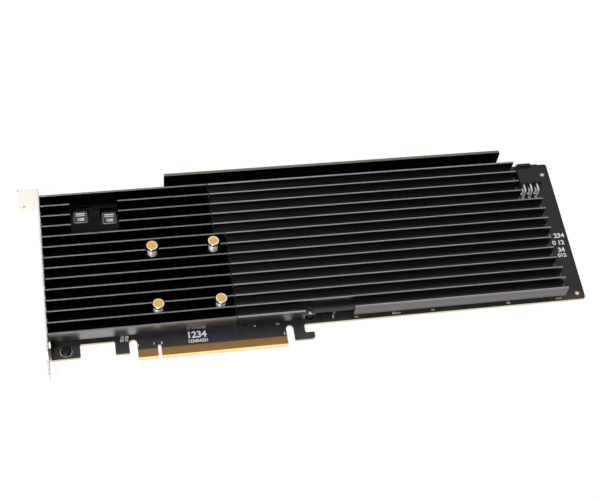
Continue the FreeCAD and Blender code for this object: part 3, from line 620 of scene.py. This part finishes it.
def screw_tree():
    """Pan-head screw with a cross recess, on each point; the point is the middle of the head's seat.

    Head and shank are made 1 in radius and 1 in height, and are then drawn out to their sizes.
    """
    tree, given = new_tree(
        "cross_recess_screw",
        Head_size=(0.002, 0.002, 0.0015), Shank_size=(0.001, 0.001, 0.004), Turn="NodeSocketRotation")
    rim_height, dome_radius, wing, slot_width, slot_middle = 0.55, 0.72, 1.15, 0.24, 0.98
    rim = add(tree, "GeometryNodeMeshCylinder", {"Vertices": 32, "Radius": 1.0, "Depth": rim_height})
    dome = add(tree, "GeometryNodeMeshCone", {
        "Vertices": 32, "Radius Top": dome_radius, "Radius Bottom": 1.0, "Depth": 1 - rim_height})
    shank = add(tree, "GeometryNodeMeshCylinder", {"Vertices": 24, "Radius": 1.0, "Depth": 1.0})
    across = add(tree, "GeometryNodeMeshCube", {"Size": (wing, slot_width, 1)})
    along = add(tree, "GeometryNodeMeshCube", {"Size": (slot_width, wing, 1)})
    lifts = (
        (rim, rim_height / 2), (dome, rim_height), (shank, -0.5), (across, slot_middle), (along, slot_middle))
    rim, dome, shank, *wings = (
        add(tree, "GeometryNodeTransform", {"Geometry": part, "Translation": (0, 0, lift)})
        for part, lift in lifts
    )
    head = add(tree, "GeometryNodeMeshBoolean", {"Mesh 2": [rim, dome]}, operation="UNION", solver="EXACT")
    cut = add(tree, "GeometryNodeMeshBoolean", {
        "Mesh 1": head, "Mesh 2": wings}, operation="DIFFERENCE", solver="EXACT")
    parts = [
        add(tree, "GeometryNodeTransform", {"Geometry": part, "Scale": given[size]})
        for part, size in ((shank, "Shank_size"), (cut, "Head_size"))
    ]
    whole = add(tree, "GeometryNodeJoinGeometry", {"Geometry": parts})
    return close_tree(tree, given, add(tree, "GeometryNodeInstanceOnPoints", {
        "Points": given["Geometry"], "Instance": whole, "Rotation": given["Turn"]}))


def fin_comb_tree():
    """Extruded heat sink: round-tipped fins between two walls on a deck, less what the cutters take away.

    Each point is the left end of the upper wall's outer face, at the deck's top.
    """
    tree, given = new_tree(
        "fin_comb",
        Run=(0.1, 0, 0), Fins=12, Fin_start=(0, -0.008, 0.003), Fin_step=(0, -0.007, 0), Fin_depth=0.008,
        Root_width=0.0013, Tip_width=0.001, Tip_radius=0.0004,
        Wall_start=(0, -0.0006, 0.002), Wall_step=(0, -0.09, 0), Wall_width=0.0012, Wall_depth=0.009,
        Deck_size=(0.1, 0.09, 0.0015), Deck_middle=(0.05, -0.045, -0.0008),
        Bosses="NodeSocketObject", Cutters="NodeSocketObject")

    def bar(tip, root, height):
        """Bar along the run with rounded corners; the sweep turns its section upside down."""
        section = add(tree, "GeometryNodeCurvePrimitiveQuadrilateral", {
            "Height": height, "Bottom Width": tip, "Top Width": root, "Offset": 0.0}, mode="TRAPEZOID")
        rounded = add(tree, "GeometryNodeFilletCurve", {
            "Curve": section, "Radius": given["Tip_radius"], "Count": 4}, mode="POLY")
        path = add(tree, "GeometryNodeCurvePrimitiveLine", {"End": given["Run"]})
        return add(tree, "GeometryNodeCurveToMesh", {
            "Curve": path, "Profile Curve": rounded, "Fill Caps": True})

    def row(piece, count, start, step):
        """Copies of a piece, one step apart."""
        line = add(tree, "GeometryNodeMeshLine", {
            "Count": count, "Start Location": start, "Offset": step}, mode="OFFSET")
        copies = add(tree, "GeometryNodeInstanceOnPoints", {"Points": line, "Instance": piece})
        return add(tree, "GeometryNodeRealizeInstances", {"Geometry": copies})

    fin = bar(given["Tip_width"], given["Root_width"], given["Fin_depth"])
    fins = row(fin, given["Fins"], given["Fin_start"], given["Fin_step"])
    wall = bar(given["Wall_width"], given["Wall_width"], given["Wall_depth"])
    walls = row(wall, 2, given["Wall_start"], given["Wall_step"])
    slab = add(tree, "GeometryNodeMeshCube", {"Size": given["Deck_size"]})
    deck = add(tree, "GeometryNodeTransform", {"Geometry": slab, "Translation": given["Deck_middle"]})
    raw = add(tree, "GeometryNodeJoinGeometry", {"Geometry": [fins, walls, deck]})
    combs = add(tree, "GeometryNodeInstanceOnPoints", {"Points": given["Geometry"], "Instance": raw})
    placed = add(tree, "GeometryNodeRealizeInstances", {"Geometry": combs})
    bosses = add(tree, "GeometryNodeObjectInfo", {"Object": given["Bosses"]}, "Geometry")
    solid = add(tree, "GeometryNodeMeshBoolean", {
        "Mesh 2": [placed, bosses], "Self Intersection": True}, operation="UNION", solver="EXACT")
    cutters = add(tree, "GeometryNodeObjectInfo", {"Object": given["Cutters"]}, "Geometry")
    cut = add(tree, "GeometryNodeMeshBoolean", {
        "Mesh 1": solid, "Mesh 2": cutters, "Self Intersection": True},
        operation="DIFFERENCE", solver="EXACT")
    return close_tree(tree, given, cut)


def spring_tree():
    """Coil spring wound upwards from each point."""
    tree, given = new_tree("coil_spring", Mean_radius=0.002, Wire_radius=0.0003, Height=0.006, Turns=5.0)
    coil = add(tree, "GeometryNodeCurveSpiral", {
        "Resolution": 28, "Rotations": given["Turns"], "Start Radius": given["Mean_radius"],
        "End Radius": given["Mean_radius"], "Height": given["Height"]})
    wire = add(tree, "GeometryNodeCurvePrimitiveCircle", {"Resolution": 10, "Radius": given["Wire_radius"]})
    body = add(tree, "GeometryNodeCurveToMesh", {"Curve": coil, "Profile Curve": wire, "Fill Caps": True})
    return close_tree(tree, given, add(tree, "GeometryNodeInstanceOnPoints", {
        "Points": given["Geometry"], "Instance": body}))


def contact_row_tree():
    """Row of flat contacts along X from each point."""
    tree, given = new_tree("contact_row", Count=67, Step=(0.0005, 0, 0), Contact_size=(0.001, 0.001, 0.001))
    line = add(tree, "GeometryNodeMeshLine", {
        "Count": given["Count"], "Offset": given["Step"]}, mode="OFFSET")
    blade = add(tree, "GeometryNodeMeshCube", {"Size": given["Contact_size"]})
    row = add(tree, "GeometryNodeInstanceOnPoints", {"Points": line, "Instance": blade})
    return close_tree(tree, given, add(tree, "GeometryNodeInstanceOnPoints", {
        "Points": given["Geometry"], "Instance": row}))


# Settings

def shade(name, description, default):
    """Setting for a colour, from its sRGB hex value."""
    return bpy.props.FloatVectorProperty(
        name=name, description=description, default=(*linear(default), 1), size=4, min=0, max=1,
        subtype="COLOR")


def measure(name, description, default_mm, least_mm):
    """Setting for a length in metres, from its values in mm."""
    return bpy.props.FloatProperty(
        name=name, description=description, default=default_mm * MM, min=least_mm * MM, unit="LENGTH")


class CardFinish(bpy.types.PropertyGroup):
    """Colours of the card's finishes."""
    short_wall: shade("Short sink walls", "Outer walls of the short sink", "#8b8784")
    # Painted highlight on the short sink's fin tips
    short_tip: shade("Short sink tips", "Fin tips of the short sink", "#8c8c8e")
    # Painted shade in the short sink's channels
    short_deep: shade("Short sink channels", "Skin between the fins of the short sink", "#1f1f21")
    long_wall: shade("Long sink walls", "Outer walls of the long sink", "#686564")
    # Painted highlight on the long sink's fin tips
    long_tip: shade("Long sink tips", "Fin tips of the long sink", "#b0b0b2")
    # Painted shade in the long sink's channels
    long_deep: shade("Long sink channels", "Skin between the fins of the long sink", "#555557")
    mask: shade("Solder mask", "Black solder mask over bare laminate", "#0d0d0f")
    mask_copper: shade("Solder mask on copper", "Black solder mask over copper", "#161618")
    mask_lines: shade("Solder mask on lines", "Black solder mask near the finger edge", "#28282b")
    mask_lines_light: shade("Solder mask on lines, light", "Its lighter clouds", "#343438")
    laminate: shade("Laminate edge", "Cut edge of the glass laminate", "#a8946c")
    laminate_dark: shade("Laminate edge, dark", "Darker plies in the cut edge", "#7a6a4c")
    # Painted glow of the laminate's cut edges
    cut_glow: shade("Laminate glow", "Light that comes out of the cut edges", "#fff3d6")
    bevel: shade("Finger edge", "Freshly ground slope of the finger edge", "#ffe6a4")
    bevel_dark: shade("Finger edge, dark", "Darker plies in the ground slope", "#e8bd6c")
    bare: shade("Bare laminate", "Laminate without mask, between the fingers", "#8a6238")
    rail: shade("Rail", "Black anodised rail", "#303032")
    # Top colour of the rail: partly bare worn metal, partly a painted highlight
    rail_top: shade("Rail top", "Worn top of the rail", "#7d7266")
    rail_worn: shade("Rail top, light", "Lighter wear on top of the rail", "#94887a")
    gold: shade("Contact gold", "Hard gold plating", "#b48551")
    gold_worn: shade("Contact gold, worn", "Gold where the plating is wiped thin", "#9b7143")
    thin_gold: shade("Pad gold", "Thin gold of rings and bare pads", "#f2d6a8")
    thin_gold_worn: shade("Pad gold, worn", "Thin gold, duller", "#d3aa78")
    bracket: shade("Bracket", "Nickel plating on the bracket", "#fffaf0")
    bracket_worn: shade("Bracket, dull", "Duller clouds in the plating", "#f4efe2")
    # Painted shade on the bracket's inner face
    bracket_inner: shade("Bracket, inside", "Dull inner face beside the black card", "#6b655e")
    brass: shade("Brass", "Turned brass of the spring pins", "#f3c47a")
    brass_worn: shade("Brass, toned", "Toned brass", "#e2ab5c")
    # Painted highlight on the pins' rims and sides
    brass_rim: shade("Brass rim", "Pale rubbed rim and sides", "#fff6e0")
    steel: shade("Bright steel", "Zinc-plated and drawn steel", "#f4f3f0")
    steel_worn: shade("Bright steel, dull", "Duller steel", "#d6d4d0")
    black_steel: shade("Blackened steel", "Blackened screws", "#232221")
    black_steel_worn: shade("Blackened steel, rubbed", "Rubbed spots on the screws", "#4a4846")
    nylon: shade("Nylon", "Black moulded nylon", "#121213")
    nylon_light: shade("Nylon, light", "Lighter flecks in black mouldings", "#202022")
    epoxy: shade("Chip epoxy", "Black moulded chip bodies", "#18181a")
    choke: shade("Inductor body", "Pressed iron powder", "#25292e")
    choke_light: shade("Inductor body, light", "Metal flecks in the pressed body", "#3c434b")
    # Painted highlight on the inductors' rounded top edges
    choke_edge: shade("Inductor edge", "Rubbed top edges of the pressed body", "#85898f")
    ceramic: shade("Ceramic", "Capacitor ceramic", "#8a6f4e")
    tin: shade("Tin", "Tinned ends and leads", "#c9c9c6")
    pad: shade("Thermal pad", "Filled silicone pad", "#8b8f94")
    pad_light: shade("Thermal pad, light", "Lighter clouds in the pad", "#9ca0a5")
    ink: shade("Print ink", "White print on the board", "#ffffff")
    ink_thin: shade("Print ink, thin", "Print where the ink is thin", "#dcdade")
    table: shade("Table", "Pale table top", "#f2f1ee")


class CardSizes(bpy.types.PropertyGroup):
    """Sizes of the dressed details."""
    edge_break: measure("Broken edge", "Width of the broken edges of the rail and bracket", 0.12, 0.02)
    choke_edge: measure("Inductor edge", "Width of the inductors' rounded edges", 0.2, 0.02)
    socket_edge: measure("Socket edge", "Width of the power socket's rounded edges", 0.25, 0.02)
    socket_pin_edge: measure("Socket pin edge", "Width of the socket pins' rounded edges", 0.15, 0.02)
    pin_rim: measure("Pin rim", "Width of the rounded rim of the spring pins", 0.4, 0.05)
    fin_count: bpy.props.IntProperty(
        name="Fins", description="Fins of each heat sink, with its two outer walls", default=14, min=4)
    fin_pitch: measure("Fin pitch", "Distance between fins", 7.05, 3)
    fin_tip: measure("Fin tip", "Width of a fin at its tip", 1.0, 0.4)
    fin_root: measure("Fin root", "Width of a fin at its root", 1.3, 0.4)
    fin_tip_radius: measure("Fin tip radius", "Rounding of the fin tips", 0.35, 0.05)
    wall_width: measure("Wall width", "Width of the outer walls", 1.2, 0.4)
    spring_turns: bpy.props.FloatProperty(
        name="Spring turns", description="Turns of each pin's spring", default=5.0, min=2)
    spring_wire: measure("Spring wire", "Radius of the spring wire", 0.35, 0.1)
    socket_contact_pitch: measure("Bay contact pitch", "Pitch of the drive sockets' contacts", 0.5, 0.3)
    print_thickness: measure("Print thickness", "Height of the marks above the board", 0.02, 0.005)


# Pieces

class CARD_OT_board(bpy.types.Operator):
    """Dress the circuit board, its contacts, plated rings and bare pads"""
    bl_idname = "card.board"
    bl_label = "Circuit board"

    def execute(self, context):
        thin_gold = finish("immersion_gold_on_nickel")
        paint(solder_mask(), "circuit_board")
        paint(finish("hard_gold_plated_copper"), "front_contacts", "rear_contacts")
        paint(thin_gold, "plated_rings")
        board_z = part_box("circuit_board")[1].z
        top = board_z + PAD_HEIGHT_MM * MM
        low_y = (PAD_MIDDLE_Y_MM - PAD_DEPTH_MM / 2) * MM
        high_y = low_y + PAD_DEPTH_MM * MM
        pads = tool_shape("bare_pads", [
            ((x - width / 2) * MM, (x + width / 2) * MM, low_y, high_y, board_z, top) for x, width in PADS_MM
        ])
        pads.data.materials.append(thin_gold)
        place_piece(pads, "contact_gold")
        return {"FINISHED"}


class CARD_OT_heat_sinks(bpy.types.Operator):
    """Extrude the two finned heat sinks and cut their recesses, windows, pockets and steps"""
    bl_idname = "card.heat_sinks"
    bl_label = "Heat sinks"

    def execute(self, context):
        self.sizes = context.scene.card_sizes
        look = context.scene.card_finish
        self.tree = fin_comb_tree()
        black = anodised_aluminium(
            "black_anodised_extrusion_deep", look.short_deep, look.short_wall, look.short_tip)
        grey = anodised_aluminium(
            "black_anodised_extrusion_satin", look.long_deep, look.long_wall, look.long_tip)
        self.extrude(black, "switch_heat_sink", SWITCH_DECK_MM, self.switch_cutters(), None)
        self.extrude(grey, "drive_heat_sink", DRIVE_DECK_MM, self.drive_cutters(), self.bosses())
        return {"FINISHED"}

    def extrude(self, material, node, deck_mm, cutters, bosses):
        """Grows one heat sink and cuts it."""
        sizes = self.sizes
        low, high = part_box(node)
        length = high.x - low.x
        under, top = (z * MM for z in deck_mm)
        deck = top - under
        rise = high.z - top
        fins = sizes.fin_count - 2
        depth = (fins + 1) * sizes.fin_pitch + sizes.fin_tip
        wall_depth = high.z - SKIRT_FOOT_MM * MM
        # The fins stand half-way down in the deck, so that the union has no faces that only touch
        sink = grown(self.tree, node + "_extruded", [(low.x, high.y, top)], {
            "Run": (length, 0, 0), "Fins": fins, "Fin_depth": rise + deck / 2,
            "Fin_start": (0, -sizes.fin_pitch - sizes.fin_tip / 2, (rise - deck / 2) / 2),
            "Fin_step": (0, -sizes.fin_pitch, 0), "Root_width": sizes.fin_root, "Tip_width": sizes.fin_tip,
            "Tip_radius": sizes.fin_tip_radius, "Wall_width": sizes.wall_width, "Wall_depth": wall_depth,
            "Wall_start": (0, -sizes.wall_width / 2, rise - wall_depth / 2),
            "Wall_step": (0, sizes.wall_width - depth, 0),
            "Deck_size": (length, depth - sizes.wall_width, deck),
            "Deck_middle": (length / 2, -depth / 2, -deck / 2),
            "Bosses": bosses, "Cutters": cutters, "Finish": material})
        for tool in (cutters, bosses):
            if tool:
                bpy.data.objects.remove(tool)
        # open_face tells the finish where to paint shade in the channels and a highlight on the fin tips
        mark_open_faces(sink.data, low, high, sizes.fin_tip_radius)
        place_piece(sink, "black_anodised", node)

    def fin_y(self, number):
        """Middle line of a fin, counted from the upper wall."""
        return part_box("switch_heat_sink")[1].y - self.sizes.fin_tip / 2 - number * self.sizes.fin_pitch

    def switch_cutters(self):
        """Step, recess, inductor windows and pin pockets of the short sink."""
        low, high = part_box("switch_heat_sink")
        half_root = self.sizes.fin_root / 2
        under, top = (z * MM for z in SWITCH_DECK_MM)
        over = high.z + MM
        step_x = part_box("drive_heat_sink")[0].x - SINK_GAP_MM * MM
        boxes = [
            (step_x, high.x + MM, self.fin_y(STEP_FIN) + half_root, high.y + MM, low.z - MM, over),
            (RECESS_MM[0] * MM, RECESS_MM[1] * MM, self.fin_y(RECESS_FINS[1] + 1) + half_root,
             self.fin_y(RECESS_FINS[0] - 1) - half_root, top + FIN_STUB_MM * MM, over),
        ]
        half_x, half_y = (side * MM / 2 for side in WINDOW_MM)
        for x, y in middles("power_inductors"):
            y += WINDOW_RISE_MM * MM
            boxes.append((x - half_x, x + half_x, y - half_y, y + half_y, under - MM, over))
        rods = []
        for x, y in middles("push_pins"):
            rods.append((x, y, top, over, PIN_POCKET_R_MM * MM))
            rods.append((x, y, under - MM, top + MM, PIN_HOLE_R_MM * MM))
        return tool_shape("switch_cutters", boxes, rods)

    def drive_cutters(self):
        """Step, socket notch, short fin ends, access cut and screw bores of the long sink."""
        low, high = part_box("drive_heat_sink")
        sizes = self.sizes
        under, top = (z * MM for z in DRIVE_DECK_MM)
        foot = SKIRT_FOOT_MM * MM - MM
        over = high.z + MM
        step_y = self.fin_y(STEP_FIN) + sizes.fin_root / 2 + SINK_GAP_MM * MM
        notch_y = self.fin_y(SOCKET_NOTCH_FIN) + sizes.fin_root / 2
        left, right, deck_left = (x * MM for x in ACCESS_MM)
        boxes = [
            (low.x - MM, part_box("switch_heat_sink")[1].x + SINK_GAP_MM * MM, low.y - MM, step_y, foot, over),
            (high.x - SOCKET_NOTCH_MM * MM, high.x + MM, notch_y, high.y + MM, foot, over),
            (high.x - END_RECESS_MM * MM, high.x + MM, self.fin_y(END_RECESS_FINS[1]) - sizes.fin_pitch / 2,
             self.fin_y(END_RECESS_FINS[0]) + sizes.fin_pitch / 2, foot, over),
            (left, right, low.y - MM, low.y + sizes.fin_root, foot, over),
            (deck_left, right, low.y - MM, low.y + ACCESS_BACK_MM * MM, foot, top + MM),
        ]
        bore = SCREW_HOLE_R_MM * MM
        screw_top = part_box("heat_sink_screws")[1].z
        rods = [(x, y, under - MM, top + MM, bore) for x, y in middles("access_screw")]
        rods += [(x, y, -MM, screw_top + SCREW_SPARE_MM * MM, bore) for x, y in middles("heat_sink_screws")]
        return tool_shape("drive_cutters", boxes, rods)

    def bosses(self):
        """Cast posts under the long sink that its screws go into."""
        deck = sum(DRIVE_DECK_MM) / 2 * MM
        radius = BOSS_R_MM * MM
        return tool_shape("bosses", (), [(x, y, 0, deck, radius) for x, y in middles("heat_sink_screws")])


class CARD_OT_rail(bpy.types.Operator):
    """Dress the stiffening rail along the top edge"""
    bl_idname = "card.rail"
    bl_label = "Top rail"

    def execute(self, context):
        edge = context.scene.card_sizes.edge_break
        softened_copy("top_rail", "stiffening_rail", rail_aluminium(), "black_anodised", edge)
        return {"FINISHED"}


class CARD_OT_bracket(bpy.types.Operator):
    """Dress the mounting bracket"""
    bl_idname = "card.bracket"
    bl_label = "Mounting bracket"

    def execute(self, context):
        edge = context.scene.card_sizes.edge_break
        softened_copy("mounting_bracket", "bracket", bracket_steel(), "bracket_steel", edge)
        return {"FINISHED"}


class CARD_OT_push_pins(bpy.types.Operator):
    """Make the spring pins and wind their springs"""
    bl_idname = "card.push_pins"
    bl_label = "Spring pins"

    def execute(self, context):
        sizes = context.scene.card_sizes
        wire = sizes.spring_wire
        softened_copy("push_pins", "spring_pins", turned_brass(), "pin_brass", sizes.pin_rim)
        low, high = solid_boxes("pin_springs")[0]
        feet = [(x, y, low.z + wire) for x, y in middles("pin_springs")]
        springs = grown(spring_tree(), "springs", feet, {
            "Mean_radius": (high.x - low.x) / 2 - wire, "Wire_radius": wire,
            "Height": high.z - low.z - 2 * wire, "Turns": sizes.spring_turns,
            "Finish": finish("tinned_spring_steel")})
        place_piece(springs, "spring_steel", "pin_springs")
        return {"FINISHED"}


class CARD_OT_screws(bpy.types.Operator):
    """Make the cross-recess screws on every screw place"""
    bl_idname = "card.screws"
    bl_label = "Screws"

    def execute(self, context):
        tree = screw_tree()
        finishes = {name: finish(name) for name in ("blackened_steel", "zinc_plated_steel")}
        finishes["rubbed_steel"] = rubbed_steel()
        for node, finish_name, slot, head_mm, shank_mm, head_up in SCREWS:
            low, high = solid_boxes(node)[0]
            head = head_mm * MM
            shank = shank_mm * MM
            radius = (high.x - low.x) / 2
            seat = high.z - head if head_up else low.z + head
            screws = grown(tree, node + "_crossed", [(x, y, seat) for x, y in middles(node)], {
                "Head_size": (radius, radius, head), "Shank_size": (shank, shank, high.z - low.z - head),
                "Turn": (0 if head_up else math.pi, 0, CROSS_TURN), "Finish": finishes[finish_name]})
            place_piece(screws, slot, node)
        return {"FINISHED"}


class CARD_OT_inductors(bpy.types.Operator):
    """Dress the power inductors in their windows"""
    bl_idname = "card.inductors"
    bl_label = "Inductors"

    def execute(self, context):
        edge = context.scene.card_sizes.choke_edge
        softened_copy("power_inductors", "inductors", choke_composite(), "choke_body", edge)
        return {"FINISHED"}


class CARD_OT_power_socket(bpy.types.Operator):
    """Dress the power socket and its pins"""
    bl_idname = "card.power_socket"
    bl_label = "Power socket"

    def execute(self, context):
        sizes = context.scene.card_sizes
        nylon = finish("black_moulded_nylon")
        softened_copy("power_socket", "socket_housing", nylon, "black_nylon", sizes.socket_edge)
        tin = finish("tinned_brass")
        softened_copy("power_socket_pins", "socket_pins", tin, "tinned_pin", sizes.socket_pin_edge)
        return {"FINISHED"}


class CARD_OT_drive_bays(bpy.types.Operator):
    """Dress the drive sockets, posts and pads under the large heat sink"""
    bl_idname = "card.drive_bays"
    bl_label = "Drive bays"

    def execute(self, context):
        sockets = sorted(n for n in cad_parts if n.startswith("m2_connector"))
        pads = sorted(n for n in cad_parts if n.startswith("drive_pad"))
        paint(finish("black_moulded_nylon"), *sockets)
        paint(finish("grey_filled_silicone"), *pads)
        paint(finish("nickel_plated_brass_post"), "m2_posts")
        paint(finish("blackened_steel"), "access_spacer")
        tree = contact_row_tree()
        gold = finish("hard_gold_plated_copper")
        blade = tuple(v * MM for v in SLOT_CONTACT_MM)
        pitch = context.scene.card_sizes.socket_contact_pitch
        for name, from_middle, count in SLOT_ROWS:
            starts = [
                ((low.x + high.x) / 2 + from_middle * MM, low.y + SLOT_CONTACT_Y_MM * MM, z * MM)
                for low, high in map(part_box, sockets) for z in SLOT_CONTACT_Z_MM
            ]
            rows = grown(tree, name, starts, {
                "Count": count, "Step": (pitch, 0, 0), "Contact_size": blade, "Finish": gold})
            place_piece(rows, "contact_gold")
        return {"FINISHED"}


class CARD_OT_small_parts(bpy.types.Operator):
    """Dress the chips, capacitors and crystal"""
    bl_idname = "card.small_parts"
    bl_label = "Small parts"

    def execute(self, context):
        epoxy = finish("black_moulded_epoxy")
        paint(epoxy, "switch_chip", "regulator_chips", "edge_chips", "tank_capacitors")
        paint(finish("nickel_plated_copper"), "chip_lid", "clock_crystal")
        paint(finish("grey_filled_silicone"), "thermal_paste")
        paint(finish("fired_tan_ceramic"), "ceramic_capacitors", "edge_capacitor")
        return {"FINISHED"}


class CARD_OT_print(bpy.types.Operator):
    """Print plain numbers on the board and the inductors"""
    bl_idname = "card.print"
    bl_label = "Printed numbers"

    def execute(self, context):
        ink = finish("white_screen_print_ink")
        thickness = context.scene.card_sizes.print_thickness
        board_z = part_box("circuit_board")[1].z
        choke_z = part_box("power_inductors")[1].z
        chokes = [(x / MM, y / MM) for x, y in middles("power_inductors")]
        digits, left, foot, height = CHOKE_MARK_MM
        marks = [(*mark, board_z) for mark in MARKS_MM]
        marks += [(digits, x + left, y + foot, height, choke_z) for x, y in chokes]
        for number, (digits, x, y, height, z) in enumerate(marks, start=1):
            text = bpy.data.curves.new("mark", "FONT")
            text.body = digits
            text.size = height * MM / DIGIT_SHARE
            text.offset = MARK_WEIGHT * height * MM
            text.extrude = thickness / 2
            name = "printed_mark_" + str(number)
            mesh = plain_mesh(link_data("mark_carrier", text), name)
            mesh.transform(Matrix.Translation((x * MM, y * MM, z + thickness / 2)))
            self.print_piece(link_data(name, mesh), ink)
        bars = [
            (x + left, x + right, y + low, y + high)
            for x, y in chokes for left, right, low, high in CHOKE_BARS_MM
        ]
        ticks = tool_shape("printed_ticks", [
            (*(v * MM for v in bar), choke_z, choke_z + thickness) for bar in bars
        ])
        self.print_piece(ticks, ink)
        return {"FINISHED"}

    def print_piece(self, piece, ink):
        """Inks a mark and sets it on the card."""
        piece.data.materials.clear()
        piece.data.materials.append(ink)
        place_piece(piece, "board_laminate")


class CARD_OT_stage(bpy.types.Operator):
    """Set the card on a pale table under soft studio light, with the camera in front of it"""
    bl_idname = "card.stage"
    bl_label = "Stage"

    def execute(self, context):
        scene = context.scene
        self.table(scene)
        self.world(scene)
        self.lamps()
        self.camera(scene)
        scene.view_settings.view_transform = "Standard"
        return {"FINISHED"}

    def table(self, scene):
        """Matt table that the camera and mirrors see as nearly white, and that keeps the card's shadow."""
        low = cad_box[0].z
        corners = [(x * TABLE_HALF, y * TABLE_HALF, low) for x, y in ((-1, -1), (1, -1), (1, 1), (-1, 1))]
        mesh = bpy.data.meshes.new("table_top")
        mesh.from_pydata(corners, [], [(0, 1, 2, 3)])
        material = bpy.data.materials.new("painted_table")
        material.use_nodes = True
        tree = material.node_tree
        tree.nodes.clear()
        camera = add(tree, "ShaderNodeLightPath", out="Is Camera Ray")
        mirror = camera.node.outputs["Is Glossy Ray"]
        seen = add(tree, "ShaderNodeMath", {0: camera, 1: mirror}, operation="MAXIMUM")
        share = add(tree, "ShaderNodeMath", {0: seen, 1: TABLE_GLOW_SHARE}, operation="MULTIPLY")
        coat = add(tree, "ShaderNodeBsdfDiffuse", {"Color": scene.card_finish.table})
        white = add(tree, "ShaderNodeEmission", {"Color": WHITE, "Strength": TABLE_GLOW})
        mixed = add(tree, "ShaderNodeMixShader", {0: share, 1: coat, 2: white})
        add(tree, "ShaderNodeOutputMaterial", {"Surface": mixed})
        mesh.materials.append(material)
        link_data("table_top", mesh)

    def world(self, scene):
        """Dim even room light behind a white backdrop."""
        scene.world = bpy.data.worlds.new("studio")
        scene.world.use_nodes = True
        tree = scene.world.node_tree
        tree.nodes.clear()
        camera = add(tree, "ShaderNodeLightPath", out="Is Camera Ray")
        room = add(tree, "ShaderNodeBackground", {"Color": WHITE, "Strength": ROOM_LIGHT})
        white = add(tree, "ShaderNodeBackground", {"Color": WHITE, "Strength": 1.0})
        mixed = add(tree, "ShaderNodeMixShader", {0: camera, 1: room, 2: white})
        add(tree, "ShaderNodeOutputWorld", {"Surface": mixed})

    def lamps(self):
        """Two softboxes and a soft key light."""
        for name, (way, distance, width, depth, radiance) in SOFTBOXES.items():
            lamp = bpy.data.lights.new(name, "AREA")
            lamp.shape = "RECTANGLE"
            lamp.size = width
            lamp.size_y = depth
            lamp.energy = radiance * math.pi * width * depth
            item = link_data(name, lamp)
            direction = Vector(way).normalized()
            item.location = Vector(LIT_POINT) + direction * distance
            item.rotation_euler = direction.to_track_quat("Z", "Y").to_euler()
        key = bpy.data.lights.new("key", "SUN")
        key.energy = KEY_STRENGTH
        key.angle = KEY_SPREAD
        link_data("key", key).rotation_euler = Vector(KEY_WAY).to_track_quat("Z", "Y").to_euler()

    def camera(self, scene):
        """Camera at the photograph's angle."""
        lens = bpy.data.cameras.new("camera")
        lens.sensor_width = SENSOR_MM
        lens.lens = LENS_MM
        lens.shift_x, lens.shift_y = LENS_SHIFT
        item = link_data("camera", lens)
        item.rotation_mode = "YXZ"
        item.location = CAMERA_PLACE
        item.rotation_euler = CAMERA_TURN
        scene.camera = item


pieces = (
    CARD_OT_board, CARD_OT_heat_sinks, CARD_OT_rail, CARD_OT_bracket, CARD_OT_push_pins, CARD_OT_screws,
    CARD_OT_inductors, CARD_OT_power_socket, CARD_OT_drive_bays, CARD_OT_small_parts, CARD_OT_print,
    CARD_OT_stage,
)


class CARD_PT_panel(bpy.types.Panel):
    """Lists the card's pieces and settings"""
    bl_idname = "CARD_PT_panel"
    bl_label = "Adapter card"
    bl_space_type = "VIEW_3D"
    bl_region_type = "UI"
    bl_category = "Adapter card"

    def draw(self, context):
        layout = self.layout
        for piece in pieces:
            layout.operator(piece.bl_idname)
        for settings in (context.scene.card_sizes, context.scene.card_finish):
            for name in type(settings).__annotations__:
                layout.prop(settings, name)


classes = (CardFinish, CardSizes, *pieces, CARD_PT_panel)


def register():
    for item in classes:
        bpy.utils.register_class(item)
    bpy.types.Scene.card_finish = bpy.props.PointerProperty(type=CardFinish)
    bpy.types.Scene.card_sizes = bpy.props.PointerProperty(type=CardSizes)


def unregister():
    del bpy.types.Scene.card_sizes
    del bpy.types.Scene.card_finish
    for item in reversed(classes):
        bpy.utils.unregister_class(item)


def main():
    register()
    for piece in pieces:
        group, name = piece.bl_idname.split(".")
        getattr(getattr(bpy.ops, group), name)()


if __name__ == "__main__":
    main()
